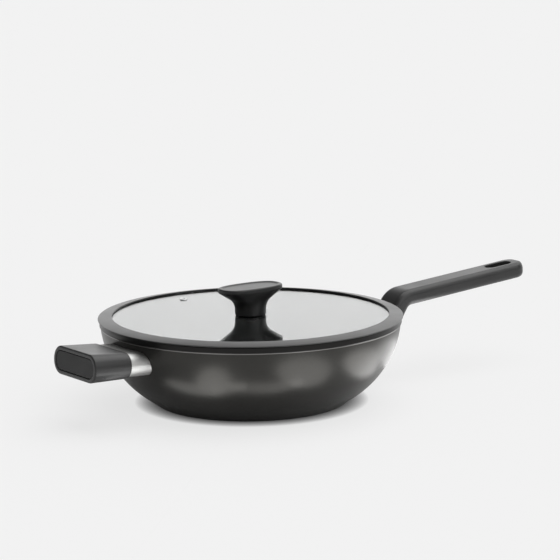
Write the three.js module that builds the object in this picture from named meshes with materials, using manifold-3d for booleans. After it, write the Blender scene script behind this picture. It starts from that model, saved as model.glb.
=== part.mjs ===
// A wok of about 30 cm with a flat glass lid, a long cranked handle and a short side grip.
// Millimetres, +Z up. The origin is the middle of the flat base, and the long handle points along +X.
import * as THREE from "three";
import { mergeVertices } from "three/addons/utils/BufferGeometryUtils.js";
import Module from "manifold-3d";

const wasm = await Module();
wasm.setup();

// Room left between pieces that seat on each other
const SEAT_GAP = 0.25;

// Bowl
const BASE_RADIUS = 95.2;
const FOOT_HEIGHT = 10;
const FOOT_ANGLE = 34.8;
const RIM_RADIUS = 150.5;
const BOWL_HEIGHT = 85;
const WALL = 3.2;
const FLOOR = 5;
const FLOOR_FILLET = 30;
const RIM_BAND_HEIGHT = 6.3;
const RIM_BAND_PROUD = 0.5;
const RIM_ROUND = 0.9;

// Steel disc let into the underside
const DISC_MARGIN = 17.2;
const DISC_THICKNESS = 1.4;
const DISC_GROOVE_COUNT = 3;
const DISC_GROOVE_WIDTH = 3;
const DISC_GROOVE_DEPTH = 0.5;

// Glass lid and its silicone ring
const GLASS_THICKNESS = 4;
const GLASS_ABOVE_RIM = 1.64;
const GLASS_EDGE_ROUND = 1.2;
const SEAL_WALL = 2.8;
const SEAL_GRIP = 5;
const SEAL_LIP = 1.9;
const SEAL_LOWER_LIP = 2.2;
const SEAL_OVERHANG = 1.5;
const SEAL_EDGE = 0.9;
const SKIRT_CLEARANCE = 0.6;

// Steam hole
const VENT_INSET = 28.85;
const VENT_ANGLE = 94;
const VENT_BORE_RADIUS = 1.8;
const EYELET_WALL = 0.9;
const EYELET_FLANGE_RADIUS = 4.6;
const EYELET_FLANGE = 0.5;

// Knob and what fastens it
const KNOB_HEIGHT = 29.5;
const KNOB_LENGTH = 70.5;
const KNOB_WIDTH = 36.6;
const KNOB_TIP_EDGE = 4.4;
const KNOB_TIP_ROUND = 1.4;
const KNOB_DISH = 0.9;
const KNOB_DISH_MARGIN = 2.6;
const STEM_LENGTH = 32.4;
const STEM_WIDTH = 29;
const STEM_HEIGHT = 11.9;
const STEM_FILLET = 13;
const STEM_FOOT_ROUND = 0.5;
const KNOB_OVAL = 2.6;
const GASKET_THICKNESS = 0.8;
const GASKET_INSET = 0.6;
const INSERT_RADIUS = 5;
const INSERT_LENGTH = 12;
const BUSH_FLANGE_RADIUS = 9;
const BUSH_FLANGE = 1.2;
const BUSH_WALL = 1.2;
const WASHER_RADIUS = 8;
const WASHER_THICKNESS = 1;
const KNOB_SCREW_RADIUS = 2.5;
const KNOB_SCREW_GRIP = 9;

// Screw heads
const SCREW_HEAD_MARGIN = 2;
const SCREW_HEAD_HEIGHT = 2.6;
const SCREW_HEAD_ROUND = 0.9;
const SCREW_SLOT_WIDTH = 1.1;
const SCREW_SLOT_DEPTH = 1.2;

// Side handle, along its own axis outwards from the wall
const SIDE_BELOW_RIM = 24;
const SIDE_TILT = 3;
const SIDE_FERRULE_LENGTH = 18;
const SIDE_INSET_ACROSS = 2.25;
const SIDE_INSET_THICK = 1.05;
const FERRULE_WALL = 1;
const SOCKET_DEPTH = 4;
const GRIP_LENGTH = 42;
const GRIP_WIDTH = 77;
const GRIP_THICKNESS = 28;
const GRIP_WIDTH_TAPER = 1.5;
const GRIP_THICKNESS_TAPER = 2.4;
const GRIP_CORNER = 12.4;
const GRIP_EDGE_ROUND = 1.6;
const END_LIP = 4.2;
const END_RECESS = 1.4;
const CAP_THICKNESS = 2;
const SIDE_STUD_SPACING = 40;
const STUD_RADIUS = 5.5;
const HANDLE_SCREW_RADIUS = 2.5;
const SCREW_SEAT = 6;
const SCREW_BITE = 12;

// Long handle, as a bar bent twice from the wall outwards
const HANDLE_BELOW_RIM = 24;
const HANDLE_FERRULE_LENGTH = 16;
const HANDLE_INSET = 2;
const BOSS_LENGTH = 3.3;
const BOSS_WIDTH = 32;
const BOSS_THICKNESS = 22;
const BOSS_BEND_INSIDE = 1.5;
const NECK_ANGLE = 55;
const NECK_LENGTH = 10.85;
const NECK_THICKNESS = 18.5;
const CRANK_BEND_INSIDE = 9;
const HANDLE_TILT = 4.5;
const HANDLE_LENGTH = 158.35;
const HANDLE_WIDTH = 32;
const HANDLE_THICKNESS = 16.6;
const HANDLE_CORNER = 5.5;
const HANDLE_CORNER_SHARE = 0.45;
const HANDLE_END_PLAN_ROUND = 14.5;
const HANDLE_END_EDGE_ROUND = 5.5;
const HANDLE_EDGE_ROUND = 1.2;
const SLOT_LENGTH = 33;
const SLOT_WIDTH = 14;
const SLOT_END_WALL = 13;
const SLOT_RAMP = 13;

// Smoothness of round shapes
const ROUND_STEPS = 48;
const SMALL_ROUND_STEPS = 16;
const ARC_STEPS = 3;
const OUTLINE_STEPS = 5;
const WALL_ARC_STEPS = 9;
const BEND_STEPS = 6;
const OVAL_STEPS = 36;

const radians = THREE.MathUtils.degToRad;

// A closed mesh as a solid that can be joined and cut.
function solidOf(geometry) {
  const bare = geometry.clone();
  bare.deleteAttribute("normal");
  bare.deleteAttribute("uv");
  const merged = mergeVertices(bare);
  return new wasm.Manifold(
    new wasm.Mesh({
      numProp: 3,
      vertProperties: new Float32Array(merged.attributes.position.array),
      triVerts: new Uint32Array(merged.index.array),
    }),
  );
}

function geometryOf(solid) {
  const made = solid.getMesh();
  const geometry = new THREE.BufferGeometry();
  geometry.setAttribute("position", new THREE.BufferAttribute(made.vertProperties, made.numProp));
  geometry.setIndex(new THREE.BufferAttribute(made.triVerts, 1));
  geometry.computeVertexNormals();
  return geometry;
}

function cut(geometry, ...cutters) {
  return geometryOf(cutters.reduce((left, cutter) => left.subtract(solidOf(cutter)), solidOf(geometry)));
}

// An outline whose corners [x, y, radius] are rounded by arcs. The last corner runs on to the first.
function rounded(corners, steps = ARC_STEPS) {
  const points = [];
  corners.forEach(([x, y, radius = 0], i) => {
    const corner = new THREE.Vector2(x, y);
    if (radius === 0) {
      points.push(corner);
      return;
    }
    const [beforeX, beforeY] = corners.at(i - 1);
    const [afterX, afterY] = corners[(i + 1) % corners.length];
    const back = new THREE.Vector2(beforeX, beforeY).sub(corner).normalize();
    const ahead = new THREE.Vector2(afterX, afterY).sub(corner).normalize();
    const half = back.angleTo(ahead) / 2;
    const bisector = back.clone().add(ahead).normalize();
    const centre = corner.clone().addScaledVector(bisector, radius / Math.sin(half));
    const first = corner.clone().addScaledVector(back, radius / Math.tan(half));
    const turn = -Math.sign(back.cross(ahead)) * (Math.PI - 2 * half);
    for (let step = 0; step <= steps; step++) {
      points.push(first.clone().rotateAround(centre, (turn * step) / steps));
    }
  });
  const apart = 1e-4;
  return points.filter((point, i) => point.distanceTo(points.at(i - 1)) > apart);
}

function roundedRectangle(width, height, radius) {
  const corner = Math.min(radius, width / 2, height / 2);
  const corners = [
    [-width / 2, -height / 2, corner],
    [width / 2, -height / 2, corner],
    [width / 2, height / 2, corner],
    [-width / 2, height / 2, corner],
  ];
  return rounded(corners, OUTLINE_STEPS);
}

// A closed section [distance from the axis, height] turned about the Z axis.
function revolved(section, steps) {
  return new THREE.LatheGeometry([...section, section[0]], steps).rotateX(Math.PI / 2);
}

// A section that begins and ends on the Z axis, turned about it.
function turned(section, steps) {
  return new THREE.LatheGeometry(section, steps).rotateX(Math.PI / 2);
}

// Sets a shape that was made along Z along the X axis, with its flat outline in Y and Z.
function alongX(geometry) {
  const outward = new THREE.Matrix4().makeBasis(
    new THREE.Vector3(0, 1, 0),
    new THREE.Vector3(0, 0, 1),
    new THREE.Vector3(1, 0, 0),
  );
  return geometry.applyMatrix4(outward);
}

// A flat outline in Y and Z, drawn out along X.
function bar(outline, start, end) {
  const made = new THREE.ExtrudeGeometry(new THREE.Shape(outline), { depth: end - start, bevelEnabled: false });
  return alongX(made).translate(start, 0, 0);
}

function rod(radius, start, end) {
  const made = new THREE.CylinderGeometry(radius, radius, end - start, SMALL_ROUND_STEPS);
  return made.rotateZ(-Math.PI / 2).translate((start + end) / 2, 0, 0);
}

// A skin over rings of equal count, closed at both ends.
function loft(rings) {
  const count = rings[0].length;
  const middles = [rings[0], rings.at(-1)].map((ring) => {
    const sum = ring.reduce((total, point) => total.add(point), new THREE.Vector3());
    return sum.divideScalar(count);
  });
  const points = [...rings.flat(), ...middles];
  const startMiddle = points.length - 2;
  const endMiddle = points.length - 1;
  const endRing = (rings.length - 1) * count;
  const faces = [];
  for (let side = 0; side < count; side++) {
    const next = (side + 1) % count;
    for (let ring = 0; ring < rings.length - 1; ring++) {
      const here = ring * count;
      const there = here + count;
      faces.push(here + side, here + next, there + next);
      faces.push(here + side, there + next, there + side);
    }
    faces.push(startMiddle, next, side);
    faces.push(endMiddle, endRing + side, endRing + next);
  }
  const geometry = new THREE.BufferGeometry().setFromPoints(points);
  geometry.setIndex(faces);
  geometry.computeVertexNormals();
  return geometry;
}

function piece(name, geometry, color, roughness, metalness) {
  const mesh = new THREE.Mesh(geometry, new THREE.MeshStandardMaterial({ color, roughness, metalness }));
  mesh.name = name;
  return mesh;
}

// The wall of the bowl is a short cone and then one arc, tangent to the cone, up to the rim.
const footSlope = radians(FOOT_ANGLE);
const footOut = new THREE.Vector2(Math.sin(footSlope), -Math.cos(footSlope));
const footTop = new THREE.Vector2(BASE_RADIUS + FOOT_HEIGHT / Math.tan(footSlope), FOOT_HEIGHT);
const rimEdge = new THREE.Vector2(RIM_RADIUS, BOWL_HEIGHT);
const footToRim = rimEdge.clone().sub(footTop);
const arcRadius = footToRim.lengthSq() / (-2 * footToRim.dot(footOut));
const arcCentre = footTop.clone().addScaledVector(footOut, -arcRadius);

// Distance of the wall from the axis at a height, moved outwards by an offset
function wallAt(height, offset) {
  const rise = height - arcCentre.y;
  return arcCentre.x + Math.sqrt((arcRadius + offset) ** 2 - rise ** 2);
}

// Points up the arc of the wall to a height, moved outwards by an offset
function wallArc(offset, top) {
  const reach = arcRadius + offset;
  const first = footOut.angle() - 2 * Math.PI;
  const last = Math.asin((top - arcCentre.y) / reach);
  const points = [];
  for (let step = 0; step <= WALL_ARC_STEPS; step++) {
    const angle = THREE.MathUtils.lerp(first, last, step / WALL_ARC_STEPS);
    points.push([arcCentre.x + reach * Math.cos(angle), arcCentre.y + reach * Math.sin(angle)]);
  }
  return points;
}

const bandBottom = BOWL_HEIGHT - RIM_BAND_HEIGHT;
const bandRadius = RIM_RADIUS + RIM_BAND_PROUD;
const discRadius = BASE_RADIUS - DISC_MARGIN;

function makeBowl() {
  const floorEdge = BASE_RADIUS + FLOOR / Math.tan(footSlope) - WALL / Math.sin(footSlope);
  const innerFoot = footTop.clone().addScaledVector(footOut, -WALL);
  const straight = innerFoot.distanceTo(new THREE.Vector2(floorEdge, FLOOR));
  const floorFillet = Math.min(FLOOR_FILLET, straight / Math.tan(footSlope / 2));
  const discRoom = DISC_THICKNESS + SEAT_GAP;
  const discEdge = discRadius + SEAT_GAP;
  const stepHeight = bandRadius - wallAt(bandBottom, 0);
  const section = rounded([
    [0, discRoom],
    [discEdge, discRoom],
    [discEdge, 0],
    [BASE_RADIUS, 0],
    ...wallArc(0, bandBottom),
    [bandRadius, bandBottom + stepHeight],
    [bandRadius, BOWL_HEIGHT, RIM_ROUND],
    [wallAt(BOWL_HEIGHT, -WALL), BOWL_HEIGHT, RIM_ROUND],
    ...wallArc(-WALL, BOWL_HEIGHT - RIM_BAND_HEIGHT / 2).reverse(),
    [floorEdge, FLOOR, floorFillet],
    [0, FLOOR],
  ]);
  return piece("wok_body", turned(section, ROUND_STEPS), 0x3a3937, 0.45, 0.6);
}

// All that the bowl takes up, with room to seat round it: cuts what stands against the wall.
function bowlRoom() {
  const section = [
    [0, FOOT_HEIGHT],
    ...wallArc(SEAT_GAP, bandBottom - SEAT_GAP),
    [bandRadius + SEAT_GAP, bandBottom - SEAT_GAP],
    [bandRadius + SEAT_GAP, BOWL_HEIGHT + SEAT_GAP],
    [0, BOWL_HEIGHT + SEAT_GAP],
  ].map(([x, y]) => new THREE.Vector2(x, y));
  return turned(section, ROUND_STEPS);
}

// Shallow ring grooves are pressed into the underside of the disc.
function makeDisc() {
  const pitch = discRadius / (DISC_GROOVE_COUNT + 1);
  const underside = [[0, 0]];
  for (let groove = 1; groove <= DISC_GROOVE_COUNT; groove++) {
    const inner = groove * pitch - DISC_GROOVE_WIDTH / 2;
    const outer = groove * pitch + DISC_GROOVE_WIDTH / 2;
    underside.push([inner, 0]);
    underside.push([inner + DISC_GROOVE_DEPTH, DISC_GROOVE_DEPTH]);
    underside.push([outer - DISC_GROOVE_DEPTH, DISC_GROOVE_DEPTH]);
    underside.push([outer, 0]);
  }
  const section = [...underside, [discRadius, 0], [discRadius, DISC_THICKNESS], [0, DISC_THICKNESS]];
  const points = section.map(([x, y]) => new THREE.Vector2(x, y));
  return piece("induction_disc", turned(points, ROUND_STEPS), 0xb9bbbd, 0.35, 1);
}

// Levels and radii of the lid follow from the rim
const glassTop = BOWL_HEIGHT + GLASS_ABOVE_RIM;
const glassBottom = glassTop - GLASS_THICKNESS;
const skirtBottom = glassBottom - SEAT_GAP - SEAL_LOWER_LIP;
const skirtRadius = wallAt(skirtBottom, -WALL) - SKIRT_CLEARANCE;
const grooveRadius = skirtRadius - SEAL_WALL;
const glassRadius = grooveRadius - SEAT_GAP;
const sealInner = glassRadius - SEAL_GRIP;
const sealOuter = bandRadius + SEAL_OVERHANG;
const ventDistance = sealInner - VENT_INSET;
const ventAcross = ventDistance * Math.cos(radians(VENT_ANGLE));
const ventAlong = ventDistance * Math.sin(radians(VENT_ANGLE));
const eyeletRadius = VENT_BORE_RADIUS + EYELET_WALL;
const glassHole = KNOB_SCREW_RADIUS + BUSH_WALL + 2 * SEAT_GAP;

function makeGlass() {
  const section = rounded([
    [glassHole, glassBottom],
    [glassRadius, glassBottom, GLASS_EDGE_ROUND],
    [glassRadius, glassTop, GLASS_EDGE_ROUND],
    [glassHole, glassTop],
  ]);
  const holeRadius = eyeletRadius + SEAT_GAP;
  const drill = new THREE.CylinderGeometry(holeRadius, holeRadius, 2 * GLASS_THICKNESS, SMALL_ROUND_STEPS);
  drill.rotateX(Math.PI / 2).translate(ventAcross, ventAlong, (glassTop + glassBottom) / 2);
  return piece("lid_glass", cut(revolved(section, ROUND_STEPS), drill), 0xd5d8d8, 0.05, 0);
}

function makeSeal() {
  const lowerLipInner = sealInner + SEAL_LIP / 2;
  const flangeBottom = BOWL_HEIGHT + SEAT_GAP;
  const sealTop = glassTop + SEAL_LIP;
  const edgeRound = SEAL_EDGE / 3;
  const section = rounded([
    [lowerLipInner, skirtBottom],
    [skirtRadius, skirtBottom, SEAL_LOWER_LIP / 2],
    [skirtRadius, flangeBottom],
    [sealOuter, flangeBottom, edgeRound],
    [sealOuter, flangeBottom + SEAL_EDGE, edgeRound],
    [sealInner, sealTop, SEAL_LIP / 4],
    [sealInner, glassTop + SEAT_GAP],
    [grooveRadius, glassTop + SEAT_GAP],
    [grooveRadius, glassBottom - SEAT_GAP],
    [lowerLipInner, glassBottom - SEAT_GAP],
  ]);
  return piece("lid_seal", revolved(section, ROUND_STEPS), 0x3f3f3f, 0.7, 0);
}

// A rolled eyelet: a short tube with a flange on each face of the glass
function makeEyelet() {
  const top = glassTop + SEAT_GAP;
  const bottom = glassBottom - SEAT_GAP;
  const section = rounded([
    [VENT_BORE_RADIUS, bottom - EYELET_FLANGE, EYELET_FLANGE / 2],
    [EYELET_FLANGE_RADIUS, bottom - EYELET_FLANGE],
    [EYELET_FLANGE_RADIUS, bottom],
    [eyeletRadius, bottom],
    [eyeletRadius, top],
    [EYELET_FLANGE_RADIUS, top],
    [EYELET_FLANGE_RADIUS - EYELET_FLANGE, top + EYELET_FLANGE],
    [VENT_BORE_RADIUS, top + EYELET_FLANGE, EYELET_FLANGE / 2],
  ]);
  const mesh = piece("vent_eyelet", revolved(section, SMALL_ROUND_STEPS), 0xc8c8c8, 0.25, 1);
  mesh.position.set(ventAcross, ventAlong, 0);
  return mesh;
}

// Levels of the knob and its fastening, from the glass up and down
const gasketBottom = glassTop + SEAT_GAP;
const knobBottom = gasketBottom + GASKET_THICKNESS + SEAT_GAP;
const knobTop = glassTop + KNOB_HEIGHT;
const insertTop = knobBottom + INSERT_LENGTH;
const bushBottom = glassBottom - SEAT_GAP - BUSH_FLANGE;
const washerBottom = bushBottom - SEAT_GAP - WASHER_THICKNESS;
const knobScrewSeat = washerBottom - SEAT_GAP;
const screwHole = KNOB_SCREW_RADIUS + SEAT_GAP;

// An oval ring in the XY plane. A power of 2 is an ellipse, and a higher one is squarer.
function oval(halfLength, halfWidth, power, height) {
  const ring = [];
  for (let step = 0; step < OVAL_STEPS; step++) {
    const angle = (2 * Math.PI * step) / OVAL_STEPS;
    const across = Math.cos(angle);
    const along = Math.sin(angle);
    const x = halfLength * Math.sign(across) * Math.abs(across) ** (2 / power);
    const y = halfWidth * Math.sign(along) * Math.abs(along) ** (2 / power);
    ring.push(new THREE.Vector3(x, y, height));
  }
  return ring;
}

// The knob is a round stem that flares into a long oval top with a dished face.
function makeKnob() {
  const stem = STEM_LENGTH / 2;
  const tip = KNOB_LENGTH / 2;
  const dishEdge = tip - KNOB_DISH_MARGIN;
  const outline = rounded([
    [0, knobBottom],
    [stem, knobBottom, STEM_FOOT_ROUND],
    [stem, knobBottom + STEM_HEIGHT, STEM_FILLET],
    [tip, knobTop - KNOB_TIP_EDGE, KNOB_TIP_ROUND],
    [tip, knobTop, KNOB_TIP_ROUND],
    [dishEdge, knobTop],
    [dishEdge - KNOB_DISH_MARGIN, knobTop - KNOB_DISH],
    [0, knobTop - KNOB_DISH],
  ]);
  const rings = outline.slice(1, -1).map((point) => {
    const onTop = point.y > knobTop - KNOB_TIP_EDGE / 2;
    const flare = onTop ? 1 : THREE.MathUtils.clamp((point.x - stem) / (tip - stem), 0, 1);
    const width = THREE.MathUtils.lerp(STEM_WIDTH, KNOB_WIDTH, flare);
    const length = THREE.MathUtils.lerp(STEM_LENGTH, KNOB_LENGTH, flare);
    const margin = length / 2 - point.x;
    const power = THREE.MathUtils.lerp(2, KNOB_OVAL, flare);
    return oval(point.x, width / 2 - margin, power, point.y);
  });
  const holeRadius = INSERT_RADIUS + SEAT_GAP;
  const depth = INSERT_LENGTH + SEAT_GAP;
  const hole = new THREE.CylinderGeometry(holeRadius, holeRadius, 2 * depth, SMALL_ROUND_STEPS);
  hole.rotateX(Math.PI / 2).translate(0, 0, knobBottom);
  return piece("knob", cut(loft(rings), hole), 0x2b2b2b, 0.6, 0);
}

function washer(name, inner, outer, bottom, top, color, roughness, metalness) {
  const section = rounded([
    [inner, bottom],
    [outer, bottom],
    [outer, top],
    [inner, top],
  ]);
  return piece(name, revolved(section, SMALL_ROUND_STEPS), color, roughness, metalness);
}

// The gasket follows the oval foot of the stem.
function makeGasket() {
  const halfLength = STEM_LENGTH / 2 - GASKET_INSET;
  const halfWidth = STEM_WIDTH / 2 - GASKET_INSET;
  const top = gasketBottom + GASKET_THICKNESS;
  const rings = [oval(halfLength, halfWidth, 2, gasketBottom), oval(halfLength, halfWidth, 2, top)];
  const hole = new THREE.CylinderGeometry(screwHole, screwHole, 4 * GASKET_THICKNESS, SMALL_ROUND_STEPS);
  hole.rotateX(Math.PI / 2).translate(0, 0, gasketBottom);
  return piece("knob_gasket", cut(loft(rings), hole), 0x101010, 0.8, 0);
}

function makeInsert() {
  return washer("knob_insert", screwHole, INSERT_RADIUS, knobBottom, insertTop, 0xb08d45, 0.4, 1);
}

// The bush lines the hole in the glass and has a flange under it.
function makeBush() {
  const collar = screwHole + BUSH_WALL;
  const section = rounded([
    [screwHole, bushBottom],
    [BUSH_FLANGE_RADIUS, bushBottom],
    [BUSH_FLANGE_RADIUS, bushBottom + BUSH_FLANGE],
    [collar, bushBottom + BUSH_FLANGE],
    [collar, glassTop],
    [screwHole, glassTop],
  ]);
  return piece("glass_bush", revolved(section, SMALL_ROUND_STEPS), 0x202020, 0.8, 0);
}

function makeWasher() {
  const top = washerBottom + WASHER_THICKNESS;
  return washer("knob_washer", screwHole, WASHER_RADIUS, washerBottom, top, 0xb9bbbd, 0.35, 1);
}

// A slotted pan-head screw along Z. Its head sits below the plane z = 0 and its shank stands above it.
function screw(name, shankRadius, shankLength) {
  const head = shankRadius + SCREW_HEAD_MARGIN;
  const section = rounded([
    [0, -SCREW_HEAD_HEIGHT],
    [head, -SCREW_HEAD_HEIGHT, SCREW_HEAD_ROUND],
    [head, 0],
    [shankRadius, 0],
    [shankRadius, shankLength],
    [0, shankLength],
  ]);
  const slotLength = 2 * (head + SCREW_SLOT_WIDTH);
  const slot = new THREE.BoxGeometry(slotLength, SCREW_SLOT_WIDTH, 2 * SCREW_SLOT_DEPTH);
  slot.translate(0, 0, -SCREW_HEAD_HEIGHT);
  return piece(name, cut(turned(section, SMALL_ROUND_STEPS), slot), 0xb9bbbd, 0.35, 1);
}

function makeKnobScrew() {
  const mesh = screw("knob_screw", KNOB_SCREW_RADIUS, knobBottom + KNOB_SCREW_GRIP - knobScrewSeat);
  mesh.position.z = knobScrewSeat;
  return mesh;
}

// Moves the room of the bowl into the frame of a handle, where its wall end is cut to the bowl.
function bowlRoomSeenFrom(group) {
  group.updateMatrixWorld(true);
  return bowlRoom().applyMatrix4(group.matrixWorld.clone().invert());
}

// A steel sleeve from the wall into its handle, cut to the curve of the bowl
function ferrule(name, width, thickness, length, group) {
  const outer = roundedRectangle(width, thickness, thickness / 2);
  const inner = roundedRectangle(width - 2 * FERRULE_WALL, thickness - 2 * FERRULE_WALL, thickness / 2);
  const end = length + SOCKET_DEPTH;
  const sleeve = bar(outer, -width, end);
  const hollow = bar(inner, -2 * width, 2 * end);
  return piece(name, cut(sleeve, hollow, bowlRoomSeenFrom(group)), 0xc6c6c4, 0.28, 1);
}

// A stud welded to the wall, bored for the screw of its handle
function stud(name, length, across, group) {
  const end = length + SOCKET_DEPTH;
  const body = rod(STUD_RADIUS, -2 * STUD_RADIUS, end).translate(0, across, 0);
  const bore = rod(HANDLE_SCREW_RADIUS + SEAT_GAP, end - SCREW_BITE - SEAT_GAP, 2 * end);
  bore.translate(0, across, 0);
  return piece(name, cut(body, bore, bowlRoomSeenFrom(group)), 0xa9abad, 0.4, 1);
}

// The screw of a handle, with its head seated outwards and its shank in the stud
function handleScrew(name, seat, socketFloor, across) {
  const mesh = screw(name, HANDLE_SCREW_RADIUS, seat - socketFloor + SCREW_BITE);
  mesh.rotation.y = -Math.PI / 2;
  mesh.position.set(seat, across, 0);
  return mesh;
}

const sideHeight = BOWL_HEIGHT - SIDE_BELOW_RIM;
const sideHandle = new THREE.Group();
sideHandle.position.set(-wallAt(sideHeight, 0), 0, sideHeight);
sideHandle.rotation.set(0, -radians(SIDE_TILT), Math.PI, "ZYX");

// Sizes of the side handle, and places along its own axis
const gripInnerWidth = GRIP_WIDTH - GRIP_WIDTH_TAPER;
const gripInnerThickness = GRIP_THICKNESS - GRIP_THICKNESS_TAPER;
const sideFerruleWidth = gripInnerWidth - 2 * SIDE_INSET_ACROSS;
const sideFerruleThickness = gripInnerThickness - 2 * SIDE_INSET_THICK;
const gripStart = SIDE_FERRULE_LENGTH;
const gripEnd = gripStart + GRIP_LENGTH;
const sideSocket = gripStart + SOCKET_DEPTH + SEAT_GAP;
const sideScrewSeat = sideSocket + SCREW_SEAT + SEAT_GAP;
const capFace = gripEnd - END_RECESS;
const capBack = capFace - CAP_THICKNESS;
const screwBore = HANDLE_SCREW_RADIUS + SEAT_GAP;
const screwHeadBore = HANDLE_SCREW_RADIUS + SCREW_HEAD_MARGIN + SEAT_GAP;

// A ring of the grip at a place along it, drawn in by a margin
function gripRing(place, margin) {
  const share = (place - gripStart) / GRIP_LENGTH;
  const width = THREE.MathUtils.lerp(gripInnerWidth, GRIP_WIDTH, share) - 2 * margin;
  const thickness = THREE.MathUtils.lerp(gripInnerThickness, GRIP_THICKNESS, share) - 2 * margin;
  const outline = roundedRectangle(width, thickness, GRIP_CORNER - margin);
  return outline.map((point) => new THREE.Vector3(place, point.x, point.y));
}

// Rings round off an end edge: distances from the end and how far each ring is drawn in
function edgeRings(radius) {
  const rings = [];
  for (let step = 0; step <= ARC_STEPS; step++) {
    const angle = (Math.PI / 2) * (step / ARC_STEPS);
    rings.push([radius * (1 - Math.sin(angle)), radius * (1 - Math.cos(angle))]);
  }
  return rings.reverse();
}

function makeGrip() {
  const edge = edgeRings(GRIP_EDGE_ROUND);
  const rings = [
    ...edge.map(([inset, margin]) => gripRing(gripStart + inset, margin)),
    ...edge.map(([inset, margin]) => gripRing(gripEnd - inset, margin)).reverse(),
  ];
  const gap = 2 * SEAT_GAP;
  const width = sideFerruleWidth + gap;
  const thickness = sideFerruleThickness + gap;
  const socket = bar(roundedRectangle(width, thickness, thickness / 2), 0, sideSocket);
  const lip = 2 * END_LIP;
  const recessOutline = roundedRectangle(GRIP_WIDTH - lip, GRIP_THICKNESS - lip, GRIP_CORNER - END_LIP);
  const recess = bar(recessOutline, capBack - SEAT_GAP, 2 * gripEnd);
  const bores = [-1, 1].flatMap((side) => {
    const across = (side * SIDE_STUD_SPACING) / 2;
    const shankBore = rod(screwBore, 0, gripEnd).translate(0, across, 0);
    const headBore = rod(screwHeadBore, sideScrewSeat - SEAT_GAP, gripEnd).translate(0, across, 0);
    return [shankBore, headBore];
  });
  return piece("side_grip", cut(loft(rings), socket, recess, ...bores), 0x3b3b3b, 0.6, 0);
}

function makeCap() {
  const margin = 2 * (END_LIP + SEAT_GAP);
  const outline = roundedRectangle(GRIP_WIDTH - margin, GRIP_THICKNESS - margin, GRIP_CORNER - END_LIP);
  return piece("side_end_cap", bar(outline, capBack, capFace), 0x323232, 0.6, 0);
}

const handleHeight = BOWL_HEIGHT - HANDLE_BELOW_RIM;
const longHandle = new THREE.Group();
longHandle.position.set(wallAt(handleHeight, 0), 0, handleHeight);

// Places of the long handle along its own axis
const bossStart = HANDLE_FERRULE_LENGTH;
const handleSocket = bossStart + SOCKET_DEPTH + SEAT_GAP;
const handleScrewSeat = handleSocket + SCREW_SEAT + SEAT_GAP;

// The spine of the handle: straight, bent up, straight, bent back and straight again.
// Each stop has its place, its slope and how far along the handle it is.
function handleSpine() {
  const stops = [];
  const place = new THREE.Vector2(bossStart, 0);
  let along = 0;
  let slope = 0;
  const forward = (length) => {
    place.x += length * Math.cos(slope);
    place.y += length * Math.sin(slope);
    along += length;
    stops.push({ place: place.clone(), slope, along });
  };
  const bend = (radius, toSlope) => {
    const step = (toSlope - slope) / BEND_STEPS;
    const chord = 2 * radius * Math.sin(Math.abs(step) / 2);
    for (let count = 0; count < BEND_STEPS; count++) {
      slope += step / 2;
      forward(chord);
      slope += step / 2;
      stops.at(-1).slope = slope;
    }
  };
  forward(0);
  forward(BOSS_LENGTH);
  bend(BOSS_BEND_INSIDE + BOSS_THICKNESS / 2, radians(NECK_ANGLE));
  forward(NECK_LENGTH);
  bend(CRANK_BEND_INSIDE + HANDLE_THICKNESS / 2, radians(HANDLE_TILT));
  const crankEnd = along;
  forward(HANDLE_LENGTH);
  return { stops, crankEnd };
}

const spine = handleSpine();
const handleEnd = spine.stops.at(-1);
const handleDirection = new THREE.Vector2(Math.cos(handleEnd.slope), Math.sin(handleEnd.slope));

// A ring across the handle at a stop of its spine. Its corners leave a flat on each side.
function handleRing({ place, slope }, width, thickness) {
  const corner = Math.min(HANDLE_CORNER, HANDLE_CORNER_SHARE * thickness, HANDLE_CORNER_SHARE * width);
  return roundedRectangle(width, thickness, corner).map((point) => {
    const x = place.x - point.y * Math.sin(slope);
    const z = place.y + point.y * Math.cos(slope);
    return new THREE.Vector3(x, point.x, z);
  });
}

// Width and thickness pass from the boss to the neck and on to the grip of the handle
function handleSize(along) {
  const bossEnd = spine.stops[1 + BEND_STEPS].along;
  const toNeck = THREE.MathUtils.smoothstep(along, 0, bossEnd);
  const toGrip = THREE.MathUtils.smoothstep(along, bossEnd, spine.crankEnd);
  const bossToNeck = THREE.MathUtils.lerp(BOSS_THICKNESS, NECK_THICKNESS, toNeck);
  return {
    width: THREE.MathUtils.lerp(BOSS_WIDTH, HANDLE_WIDTH, toGrip),
    thickness: THREE.MathUtils.lerp(bossToNeck, HANDLE_THICKNESS, toGrip),
  };
}

// How far a side is drawn in at a distance from a rounded end
function drawnIn(distance, radius) {
  const inside = Math.max(radius - distance, 0);
  return radius - Math.sqrt(radius ** 2 - inside ** 2);
}

function handleRings() {
  const start = spine.stops[0];
  const rings = edgeRings(HANDLE_EDGE_ROUND).map(([inset, margin]) => {
    const stop = { place: new THREE.Vector2(start.place.x + inset, start.place.y), slope: 0 };
    return handleRing(stop, BOSS_WIDTH - 2 * margin, BOSS_THICKNESS - 2 * margin);
  });
  for (const stop of spine.stops.slice(1, -1)) {
    const { width, thickness } = handleSize(stop.along);
    rings.push(handleRing(stop, width, thickness));
  }
  const roundSteps = 2 * BEND_STEPS;
  for (let step = 0; step <= roundSteps; step++) {
    const distance = HANDLE_END_PLAN_ROUND * (1 - Math.sin((Math.PI / 2) * (step / roundSteps)));
    const place = handleEnd.place.clone().addScaledVector(handleDirection, -distance);
    const width = HANDLE_WIDTH - 2 * drawnIn(distance, HANDLE_END_PLAN_ROUND);
    const thickness = HANDLE_THICKNESS - 2 * drawnIn(distance, HANDLE_END_EDGE_ROUND);
    rings.push(handleRing({ place, slope: handleEnd.slope }, width, thickness));
  }
  return rings;
}

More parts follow.
